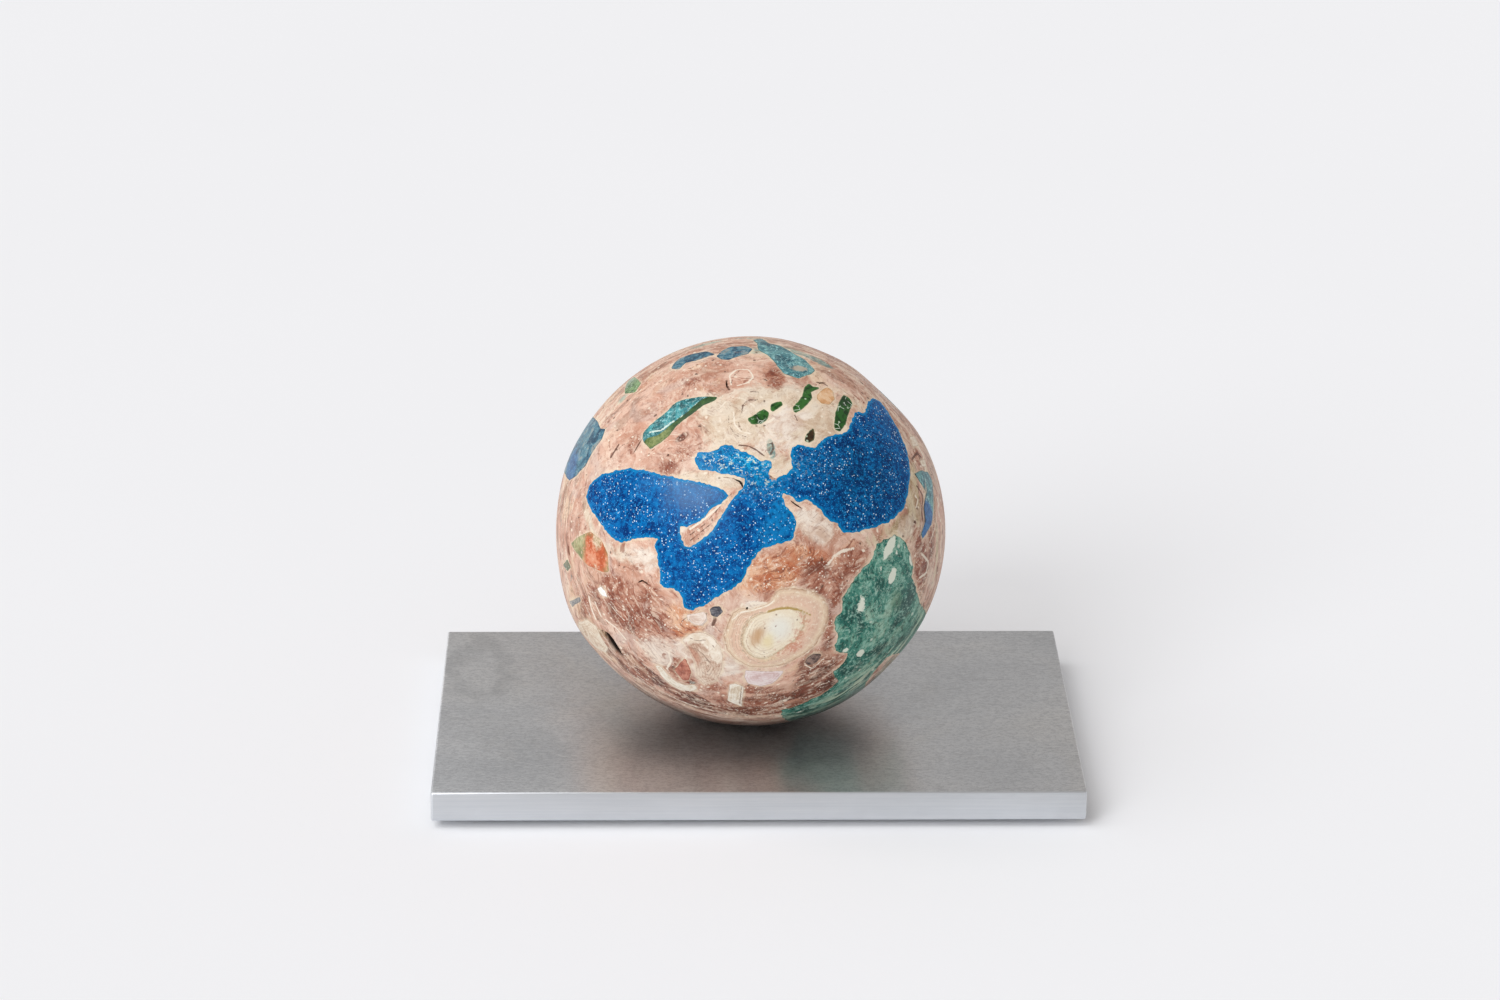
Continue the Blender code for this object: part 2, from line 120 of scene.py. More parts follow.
def deselect():
    if bpy.context.object and bpy.context.object.mode != "OBJECT":
        bpy.ops.object.mode_set(mode="OBJECT")
    bpy.ops.object.select_all(action="DESELECT")


def take(piece):
    deselect()
    piece.hide_set(False)
    piece.select_set(True)
    bpy.context.view_layer.objects.active = piece
    return piece


def apply_all(piece):
    take(piece)
    for modifier in list(piece.modifiers):
        bpy.ops.object.modifier_apply(modifier=modifier.name)


def settle(piece):
    """Puts the piece's place into its mesh, so that its object stands at the origin."""
    take(piece)
    bpy.ops.object.transform_apply(location=True, rotation=True, scale=True)


def points_of(piece):
    co = np.empty(len(piece.data.vertices) * 3, np.float32)
    piece.data.vertices.foreach_get("co", co)
    return co.reshape(-1, 3).astype(float)


def about_middle(piece):
    """A piece's points counted from the ball's middle, how far out each is, and its direction."""
    points = points_of(piece) - np.array(BALL_CENTRE)
    away = np.linalg.norm(points, axis=1)
    return points, away, points / away[:, None]


def put_points(piece, points):
    piece.data.vertices.foreach_set("co", points.astype(np.float32).ravel())
    piece.data.update()


def put_attribute(piece, name, values):
    layer = piece.data.attributes.get(name) or piece.data.attributes.new(name, "FLOAT", "POINT")
    layer.data.foreach_set("value", np.asarray(values, np.float32))


def tree_of(points):
    tree = KDTree(len(points))
    for number, point in enumerate(points):
        tree.insert(point, number)
    tree.balance()
    return tree


def reach_to(tree, points):
    return np.array([tree.find(p)[2] for p in points])


def made_unit(points):
    return points / np.linalg.norm(points, axis=1, keepdims=True)


def middle_of(points):
    """The direction of the middle of some points."""
    middle = points.mean(axis=0)
    return middle / np.linalg.norm(middle)


def directions_of(places):
    return np.array([spot(*place)[:] for place in places])


def traced(places, steps):
    """Directions along a line through a few places, with that many steps for each of them."""
    path = directions_of(places)
    share = np.linspace(0, len(path) - 1, steps * len(path))
    return np.stack([np.interp(share, range(len(path)), path[:, k]) for k in range(3)], 1)


# ---------------------------------------------------------------- outlines of the fragments

FRAGMENT_NODES = sorted(
    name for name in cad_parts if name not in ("ball", "plate") and not name.startswith("pad_")
)

# What SKIN and LOOKS_OUT are for the CAD solids, whose outer faces are coarser
CAD_SKIN = 2.6 * MM
CAD_LOOKS_OUT = 0.75


def rim_loop(node):
    """Directions along the outline that the fragment's solid shows on the ball, in order."""
    bm = bmesh.new()
    bm.from_mesh(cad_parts[node].data)
    bmesh.ops.remove_doubles(bm, verts=bm.verts, dist=1e-6)
    outer = set()
    for face in bm.faces:
        out = face.calc_center_median() - BALL_CENTRE
        if face.normal.dot(out.normalized()) > CAD_LOOKS_OUT and out.length > BALL_RADIUS - CAD_SKIN:
            outer.add(face.index)
    following = {}
    for edge in bm.edges:
        sides = [face.index in outer for face in edge.link_faces]
        if len(sides) == 2 and sides[0] != sides[1]:
            a, b = edge.verts
            following.setdefault(a.index, []).append(b.index)
            following.setdefault(b.index, []).append(a.index)
    bm.verts.ensure_lookup_table()
    loops, left = [], set(following)
    while left:
        start = min(left)
        loop, here, before = [start], start, None
        left.discard(start)
        while True:
            ahead = [v for v in following[here] if v != before and (v in left or (v == start and len(loop) > 2))]
            if not ahead or ahead[0] == start:
                break
            before, here = here, ahead[0]
            left.discard(here)
            loop.append(here)
        loops.append(loop)
    longest = max(loops, key=len)
    found = np.array([(bm.verts[v].co - BALL_CENTRE).normalized()[:] for v in longest])
    floor_points = np.array([(v.co - BALL_CENTRE)[:] for v in bm.verts])
    bm.free()
    return found, floor_points


def even_steps(loop, step):
    """The same closed outline with points at equal steps, in metres at the ball's surface."""
    closed = np.vstack([loop, loop[:1]])
    lengths = np.linalg.norm(np.diff(closed, axis=0), axis=1) * BALL_RADIUS
    along = np.concatenate([[0], np.cumsum(lengths)])
    count = max(10, int(round(along[-1] / step)))
    wanted = np.linspace(0, along[-1], count, endpoint=False)
    return made_unit(np.stack([np.interp(wanted, along, closed[:, k]) for k in range(3)], 1))


def rounded(loop, spread):
    """Corners eased by averaging each point with those within a few steps on either side."""
    reach = int(3 * spread) + 1
    weights = np.exp(-0.5 * (np.arange(-reach, reach + 1) / spread) ** 2)
    weights /= weights.sum()
    return made_unit(sum(w * np.roll(loop, -k, axis=0) for w, k in zip(weights, range(-reach, reach + 1))))


def moved_outward(loop, amounts):
    """The outline with each point shifted away from its inside along the ball's surface, in metres."""
    ahead = np.roll(loop, -1, axis=0) - np.roll(loop, 1, axis=0)
    middle = loop.mean(axis=0)
    turning = np.cross(loop, np.roll(loop, -1, axis=0)).sum(axis=0) @ middle
    outward = made_unit(np.cross(ahead, loop) * (1 if turning > 0 else -1))
    return made_unit(loop + outward * (np.array(amounts) / BALL_RADIUS)[:, None])


def chipped(loop, coarse, fine, seed):
    """The outline made uneven, as broken glass and stone are, by coarse and fine amounts in metres."""
    shift = []
    for point in loop:
        place = Vector(point) * BALL_RADIUS
        wide = noise.noise(place * 260 + Vector((seed * 7.3, 0, 0)))
        narrow = noise.noise(place * 950 + Vector((0, seed * 5.1, 0)))
        shift.append(coarse * wide + fine * narrow)
    return moved_outward(loop, shift)


# Outlines with fewer points than this grow, by this at most, and keep this much clear of their neighbours
FEW_POINTS = 115
WIDENING = 0.26 * MM
KEPT_CLEAR = 0.6 * MM


def widened(outlines):
    """Gives small fragments back what easing their corners took off, where a neighbour leaves room for it."""
    wider = {}
    for node, loop in outlines.items():
        others = tree_of(np.vstack([other for name, other in outlines.items() if name != node]))
        room = np.array([others.find(Vector(point))[2] * BALL_RADIUS for point in loop])
        most = WIDENING if len(loop) < FEW_POINTS else 0.0
        wider[node] = moved_outward(loop, np.clip(0.4 * (room - KEPT_CLEAR), 0, most))
    return wider


# Coarse and fine unevenness of the broken edges
USUAL_EDGE = (0.18 * MM, 0.16 * MM)
ROUGH_EDGES = {
    "blue_glass": (0.45 * MM, 0.45 * MM),
    "green_stone": (0.5 * MM, 0.45 * MM),
    "shell_large": (0.1 * MM, 0.3 * MM),
}

# An outline that is shorter than this all round is followed in finer steps
SMALL_ROUND = 34 * MM


def fragment_outline(node):
    """The fragment's outline with its corners eased, and how far from the ball's middle its inner end lies."""
    loop, body = rim_loop(node)
    small = np.linalg.norm(loop - np.roll(loop, 1, axis=0), axis=1).sum() * BALL_RADIUS < SMALL_ROUND
    step, spread = (0.3 * MM, 0.7) if small else (0.45 * MM, 0.8)
    loop = rounded(even_steps(loop, step), spread)
    return loop, (body @ middle_of(loop)).min()


def carve_tool(directions, floor):
    """A wedge with the outline as its section, from its flat inner end to outside the ball."""
    deselect()
    bpy.ops.mesh.primitive_circle_add(vertices=len(directions), radius=0.01, fill_type="NGON", location=(0, 0, 0))
    tool = bpy.context.object
    middle = middle_of(directions)
    turning = np.cross(np.roll(directions, 1, axis=0), directions).sum(axis=0) @ middle
    if turning > 0:
        directions = directions[::-1]
    ring = directions * (floor / (directions @ middle))[:, None] + np.array(BALL_CENTRE)
    put_points(tool, ring)
    bpy.ops.object.mode_set(mode="EDIT")
    bpy.ops.mesh.select_all(action="SELECT")
    bpy.ops.mesh.extrude_region_move()
    growth = BALL_RADIUS * 1.05 / floor
    bpy.ops.transform.resize(value=(growth, growth, growth), center_override=BALL_CENTRE)
    bpy.ops.mesh.select_all(action="SELECT")
    bpy.ops.mesh.normals_make_consistent(inside=False)
    bpy.ops.object.mode_set(mode="OBJECT")
    return tool


def cut(piece, tool, operation="DIFFERENCE"):
    take(piece)
    modifier = piece.modifiers.new("cut", "BOOLEAN")
    modifier.operation = operation
    modifier.solver = "EXACT"
    modifier.object = tool
    bpy.ops.object.modifier_apply(modifier=modifier.name)


def joined(pieces):
    deselect()
    for piece in pieces:
        piece.select_set(True)
    bpy.context.view_layer.objects.active = pieces[0]
    bpy.ops.object.join()
    return pieces[0]


# ---------------------------------------------------------------- pits, cracks and the cleft

# Places are given as seen from the front, in hundredths of the ball's radius right and up from its middle
CLEFT = ((-75.2, -51.2), (-72.8, -52.6), (-70.2, -56), (-67.6, -60.2), (-65, -65), (-66.6, -64.8), (-69.6, -62.2),
         (-72.2, -58.6), (-74.2, -54.6))
CLEFT_FLOOR = 54.5 * MM

# Each pit's place and width
PIT_DEPTH = 2.6 * MM
PITS = (
    (-67.6, -17.8, 0.8), (-42.5, 39, 1.1), (58.1, 65.9, 1.3), (37, 63.3, 0.6), (84, 4.5, 1.0), (45, 3, 0.7),
    (-19.3, 91.1, 1.1), (26.4, 16.2, 0.9), (21.8, -52.7, 0.4), (-27, -4, 0.5), (30, 57, 0.5), (-52, 20, 0.35),
    (12, 50, 0.4), (-60, 62, 0.5), (-8, 76, 0.5), (70, 75, 0.5), (-70, 3, 0.4), (-44, -50, 0.5), (88, 36, 0.7),
)

# The places that each crack runs through, and its width
CRACK_DEPTH = 1.2 * MM
CRACKS = (
    (((-7.9, 26.3), (-5.6, 25.4), (-4.4, 23.6), (-4.2, 22.2)), 1.1),
    (((20.4, 15.6), (23, 13.6), (26.7, 11.3)), 0.8),
    (((-58, -26.6), (-55.8, -25.6), (-53.2, -27.2), (-52.6, -28.2)), 1.0),
    (((-60.4, 39.6), (-58, 43.8), (-56, 47.2)), 0.9),
    (((-12, 73.3), (-12.6, 75.4), (-12, 77.5)), 0.6),
    (((35, 75.6), (37, 76.4), (39, 76)), 0.8),
    (((-94.7, 8.7), (-95.3, 4.6), (-95.6, 0.7)), 1.0),
    (((-93.6, -7.6), (-93.4, -11), (-92.4, -14.6)), 1.7),
    (((-97.6, -10.7), (-97.7, -17)), 0.9),
    (((79, -66.5), (83, -61), (86, -56)), 0.9),
    (((-14.5, -67.6), (-17.8, -64.8)), 0.5),
    (((-2.4, -41.2), (-1.6, -39.2)), 1.2),
)


def leaf(places, width):
    """A closed sliver that follows the places and is pointed at both ends; width in hundredths of the radius."""
    line = made_unit(traced(places, 5))
    side = made_unit(np.cross(line, np.gradient(line, axis=0)))
    half = (width / 200) * np.sin(np.linspace(0.06, math.pi - 0.06, len(line))) ** 0.6
    return made_unit(np.vstack([line + side * half[:, None], (line - side * half[:, None])[::-1]]))


def pit(right, up, across, seed):
    """The uneven outline of a small round pit."""
    middle = spot(right, up)
    first = middle.orthogonal().normalized()
    second = middle.cross(first)
    ring = []
    for k in range(10):
        angle = math.tau * k / 10
        wide = across / 200 * (1 + 0.35 * noise.noise(Vector((k * 0.8, seed * 3.1, 0))))
        ring.append((middle + first * (wide * math.cos(angle)) + second * (wide * math.sin(angle))).normalized()[:])
    return np.array(ring)


# ---------------------------------------------------------------- the ball and its fragments

def ground_ball():
    """The whole ball, with a flat under it."""
    deselect()
    bpy.ops.mesh.primitive_ico_sphere_add(subdivisions=6, radius=BALL_RADIUS, location=BALL_CENTRE)
    ball = bpy.context.object
    settle(ball)
    points, away, directions = about_middle(ball)
    return lay_on_surface(ball, points, away > 0, waves=0)


def lay_on_surface(piece, points, outer, waves):
    """Puts outer points at the ball's own surface, with the slight waves that hand grinding leaves."""
    for number in np.flatnonzero(outer):
        direction = Vector(points[number]).normalized()
        radius = smooth_radius(direction)
        if waves:
            place = direction * BALL_RADIUS
            radius -= waves * (0.5 + 0.5 * noise.noise(place * 95))
            radius -= waves * 0.5 * (0.5 + 0.5 * noise.noise(place * 330 + Vector((4, 0, 0))))
        points[number] = direction * radius
    low = outer & (points[:, 2] < -BALL_DROP)
    points[low, 2] = -BALL_DROP
    put_points(piece, points + np.array(BALL_CENTRE))
    return piece


def split_outer_faces(piece, smallest, wanted):
    """Splits the outer faces that are wanted, so that they can carry fine shape and stains."""
    take(piece)
    bpy.ops.object.mode_set(mode="EDIT")
    bpy.ops.mesh.select_all(action="DESELECT")
    bpy.ops.object.mode_set(mode="OBJECT")
    for face in piece.data.polygons:
        out = face.center - BALL_CENTRE
        face.select = (
            face.area > smallest
            and out.length > BALL_RADIUS - SKIN
            and face.normal.dot(out.normalized()) > LOOKS_OUT
            and wanted(face.normal, out.normalized())
        )
    bpy.ops.object.mode_set(mode="EDIT")
    bpy.ops.mesh.subdivide(number_cuts=1)
    bpy.ops.mesh.select_all(action="SELECT")
    bpy.ops.mesh.quads_convert_to_tris()
    bpy.ops.object.mode_set(mode="OBJECT")


def refine(piece, facing):
    """Makes the ball's best side finer than the far side."""
    take(piece)
    bpy.ops.object.mode_set(mode="EDIT")
    bpy.ops.mesh.select_all(action="SELECT")
    bpy.ops.mesh.quads_convert_to_tris()
    bpy.ops.object.mode_set(mode="OBJECT")
    for turn in range(ROUNDS):
        split_outer_faces(piece, smallest=0.05 * MM * MM, wanted=lambda normal, out: normal.dot(AXIS_EYE) > facing)


def refine_near(piece, marks, reach):
    """Splits the faces near thin marks once more."""
    lines = tree_of(np.vstack([mark_line(places) for places, width, strength in marks]))
    split_outer_faces(piece, smallest=0.03 * MM * MM,
                      wanted=lambda normal, out: lines.find(out)[2] * BALL_RADIUS < reach)


def build_ball():
    """Cuts the ground ball into its mortar and the fragments set in it."""
    ball = ground_ball()
    outlines, floors, tools = {}, {}, []
    for node in FRAGMENT_NODES:
        outlines[node], floors[node] = fragment_outline(node)
    outlines = widened(outlines)
    for seed, node in enumerate(FRAGMENT_NODES):
        coarse, fine = ROUGH_EDGES.get(node, USUAL_EDGE)
        outlines[node] = chipped(outlines[node], coarse, fine, seed)
        tools.append(carve_tool(outlines[node], floors[node]))
    tool = joined(tools)
    take(ball)
    bpy.ops.object.duplicate()
    fragments = bpy.context.object
    cut(fragments, tool, "INTERSECT")
    cut(ball, tool)
    bpy.data.objects.remove(tool)

    hollows = [carve_tool(even_steps(directions_of(CLEFT), 0.8 * MM), CLEFT_FLOOR)]
    for places, width in CRACKS:
        hollows.append(carve_tool(leaf(places, width), BALL_RADIUS - CRACK_DEPTH))
    for seed, (right, up, across) in enumerate(PITS):
        hollows.append(carve_tool(pit(right, up, across, seed), BALL_RADIUS - PIT_DEPTH))
    hollow = joined(hollows)
    cut(ball, hollow)
    bpy.data.objects.remove(hollow)
    return ball, sorted_by_node(fragments, outlines), outlines


def sorted_by_node(fragments, outlines):
    """Takes the cut fragments apart and finds the node of each by its middle; crumbs are swept away."""
    take(fragments)
    bpy.ops.mesh.separate(type="LOOSE")
    middles = {node: middle_of(loop) for node, loop in outlines.items()}
    chosen = {}
    for piece in list(bpy.context.selected_objects):
        points, away, directions = about_middle(piece)
        outer = points[away > BALL_RADIUS - SKIN]
        middle = middle_of(outer if len(outer) else points)
        node = max(middles, key=lambda name: float(middles[name] @ middle))
        chosen.setdefault(node, []).append(piece)
    finished = {}
    for node, pieces in chosen.items():
        pieces.sort(key=lambda piece: -len(piece.data.vertices))
        for crumb in pieces[1:]:
            bpy.data.objects.remove(crumb)
        finished[node] = pieces[0]
    return finished


# How far a fragment's rim sinks, and how far in from the rim its finish still changes
SUNK = 0.02 * MM
RIM_REACH = 4 * MM
# How deep the mortar dips beside a fragment and how far out, how far its pale halo reaches,
# and how deep a point may lie and still not be inside a pit or pocket
DIP = 0.05 * MM
DIP_REACH = 0.9 * MM
HALO_REACH = 1.6 * MM
OPEN_DEPTH = 0.25 * MM


def ease_edges(piece, loop, proud, easing):
    """Stands the fragment a hair proud of the mortar, eased down at its rim, and keeps how far each point is in."""
    points, away, directions = about_middle(piece)
    inward = reach_to(tree_of(loop), directions) * BALL_RADIUS
    outer = away > BALL_RADIUS - SKIN
    lay_on_surface(piece, points, outer, WAVES)
    lift = proud * np.clip(inward / easing, 0, 1) ** 0.5 - SUNK
    points += directions * (lift * outer)[:, None]
    put_points(piece, points + np.array(BALL_CENTRE))
    put_attribute(piece, "inward", np.clip(inward / RIM_REACH, 0, 1))
    return directions


def wear_mortar(ball, outlines):
    """Mortar is softer than glass, so it dips a hair beside each fragment."""
    points, away, directions = about_middle(ball)
    rims = np.vstack(list(outlines.values()))
    outward = reach_to(tree_of(rims), directions) * BALL_RADIUS
    surface = np.array([smooth_radius(Vector(d)) for d in directions])
    outer = away > surface - OPEN_DEPTH
    lay_on_surface(ball, points, outer, WAVES)
    dip = DIP * np.exp(-((outward / DIP_REACH) ** 2))
    points -= directions * (dip * outer)[:, None]
    put_points(ball, points + np.array(BALL_CENTRE))
    put_attribute(ball, "beside", np.exp(-outward / HALO_REACH))
    put_attribute(ball, "skin", surface)
    return directions


# ---------------------------------------------------------------- stains of the mortar, and its painted shade

# right, up, half width, half height, tilt in degrees, strength
STAINS = {
    "chalk": ((18, 57, 9, 6, 30, 1.1), (-49, -60, 11, 7, -38, 1.3), (-41, -68, 5, 5, 0, 0.9),
              (-28, -60, 12, 12, 10, 0.7), (-22, -72, 10, 10, 0, 0.7), (3, -38.4, 4, 1.6, 0, 1.2),
              (14, 45, 12, 8, 0, 0.5), (-11, -70, 5, 7, 0, 0.5), (-54, -15, 12, 6, -10, 0.5), (34, 1, 9, 6, -30, 1.1),
              (-34, 3, 4, 3, 30, 0.9)),
    "cream": ((14, 60, 28, 15, 10, 1.3), (34, 56, 15, 14, 30, 1.1), (-14, 55, 12, 22, 20, 0.8),
              (-22, 26, 16, 4, -8, 1.0), (2, 36, 20, 6, 0, 0.9), (52, 66, 10, 8, -50, 0.5), (80, 2, 6, 5, 30, 1.1),
              (-84, 8, 3, 12, 30, 0.7), (-7, -66, 6, 8, 0, 0.5), (30, 1, 9, 5, -40, 0.6), (-66, -12, 14, 6, -20, 0.5),
              (-50, -14, 8, 5, 0, 0.5), (-10, -20, 4, 4, 0, 0.1), (-73, 26, 8, 4, -10, 0.5), (90, -18, 3, 6, 0, 0.7)),
    "russet": ((-66, -38, 17, 11, -42, 1.0), (-50, -46, 11, 8, -45, 0.7), (36, -24, 11, 9, -60, 0.9),
               (52, -16, 9, 8, 40, 0.7), (36, -78, 13, 7, 28, 1.3), (12.6, 79, 4, 6.5, -10, 1.2),
               (42, -66, 7, 8, 0, 0.9), (-14, 72, 5, 3, 20, 0.4), (-30, 77, 6, 4, 35, 0.6), (-42, 33, 7, 6, 60, 0.6),
               (-35, 40, 6, 5, 20, 0.5), (-60, 46, 5, 5, 30, 0.5), (-36, -73, 6, 6, 0, 0.9), (88, -18, 5, 14, 8, 1.2),
               (86, 38, 3, 4, 20, 1.3), (93, -4, 4, 12, 0, 0.9), (50, -15, 6, 4, -30, 0.7),
               (-40, -71.5, 4, 1.4, 8, 1.6), (-31.4, -77.4, 3, 1.8, 20, 1.6), (-36.5, -69, 2, 4, 30, 1.4),
               (44, -30, 5, 10, -10, 0.8), (36, -68, 9, 8, 0, 1.3), (-84, -38, 4, 8, -20, 0.9),
               (-62, -46, 10, 7, -48, 1.0), (-52, -34, 10, 8, -40, 0.6), (3, -82, 12, 3, -8, 1.1),
               (-20, -80, 6, 4, 0, 0.6), (-80, -34, 8, 12, -20, 0.6), (2, -88, 24, 5, 0, 0.8),
               (-57, -76, 12, 6, -35, 0.9), (40, -48, 4, 14, 0, 0.6), (-88, -4, 3, 14, 8, 0.5),
               (90, 8, 3, 14, 0, 0.4)),
    "plum": ((-55, -72, 12, 4.6, -22, 1.4), (-66, -69, 6, 3, -50, 0.9), (-27, -86, 7, 2.4, -35, 1.2),
             (33, -74, 10, 4, 30, 1.1), (33, -70, 8, 7, 0, 0.9), (24, -84, 9, 3.4, 25, 1.1), (8, -86, 12, 3, 5, 0.8),
             (-71, -41, 7, 3.4, -50, 0.6), (-2, -93, 34, 5, 2, 1.1), (-32, -86, 14, 4, -14, 0.9),
             (38, -80, 14, 5, 28, 0.9), (-74, -60, 6, 6, -40, 0.6), (-35.5, 48, 3.5, 2, 25, 0.9),
             (88, -40, 3, 6, 20, 0.6), (39, -60, 3, 8, -20, 0.5), (62, -86, 14, 3, 38, 0.7)),
    "orange": ((10, -22, 15, 8, 8, 1.1), (30, -14, 16, 6, -12, 0.8), (-35, -47, 8, 7, 20, 1.4),
               (-62, -51, 3, 2, -30, 1.0), (-64, -44, 9, 5, -40, 0.4), (-88, 20, 3, 12, 20, 0.3),
               (-56, 74, 8, 4, 40, 0.4), (-28, 84, 8, 3, 20, 0.4), (-42, 64, 10, 4, 40, 0.3),
               (50, -10, 8, 5, 30, 0.5), (38, 69, 5, 6, 0, 0.5), (-24, -37, 5, 4, 0, 0.4)),
    "teal": ((69, -72, 10, 6, 48, 1.2), (10.6, 42, 1.3, 3.6, 8, 1.6), (20, 93, 12, 3, -8, 0.8),
             (34, 88, 8, 3, -22, 1.1), (3, 93, 6, 3.4, 0, 0.9), (-23, 96, 7, 2, 12, 1.1), (-1, 99, 8, 1.2, 0, 0.9),
             (-66, 68, 4, 3, 50, 0.5), (-58, 78, 6, 2, 50, 0.35), (-40, 92, 8, 1.6, 20, 0.5),
             (-98, 14, 1.6, 20, 4, 0.5), (-30, -78, 2, 1.6, 0, 0.6), (-92, -24, 2, 3, 0, 0.5)),
    # deep is painted shade: it darkens the mortar on the ball's right side, lower right and underside, away from the
    # light
    "deep": ((92, -20, 16, 60, 10, 0.45), (60, -80, 34, 14, 34, 0.8), (94, 30, 8, 26, 10, 0.5),
             (0, -98, 60, 6, 0, 0.5)),
    "beige": ((83.5, 15, 4.6, 13, 6, 1.6), (78, 3, 8, 3.6, 28, 1.4), (84, 28, 4, 8, 10, 0.7),
              (-76, -53, 3, 4, -50, 0.9), (-66, -84, 22, 3, -36, 0.8), (66, -3, 12, 4, 20, 0.4),
              (96, -5, 3, 22, 5, 0.5), (-97, -30, 3, 18, -10, 0.5), (-90, -52, 6, 8, -40, 0.6),
              (82, -56, 8, 4, 60, 0.8)),
}


def stain_weights(directions, stains):
    """How strongly stains, and patches of painted shade and highlight, show at each point."""
    total = np.zeros(len(directions))
    for right, up, wide, high, tilt, strength in stains:
        middle = spot(right, up)
        across = (AXIS_RIGHT - middle * AXIS_RIGHT.dot(middle)).normalized()
        along = middle.cross(across)
        lean = math.radians(tilt)
        first = np.array(across * math.cos(lean) + along * math.sin(lean))
        second = np.array(along * math.cos(lean) - across * math.sin(lean))
        facing = directions @ np.array(middle) > 0
        x = directions @ first / (wide / 100)
        y = directions @ second / (high / 100)
        total = np.maximum(total, strength * np.exp(-0.7 * (x * x + y * y)) * facing)
    return total


def rim_arc(reach, start, end):
    """Points along a circle seen round the ball's middle, from one clock angle in degrees to another."""
    return [(reach * math.cos(math.radians(a)), reach * math.sin(math.radians(a)))
            for a in np.linspace(start, end, 6)]


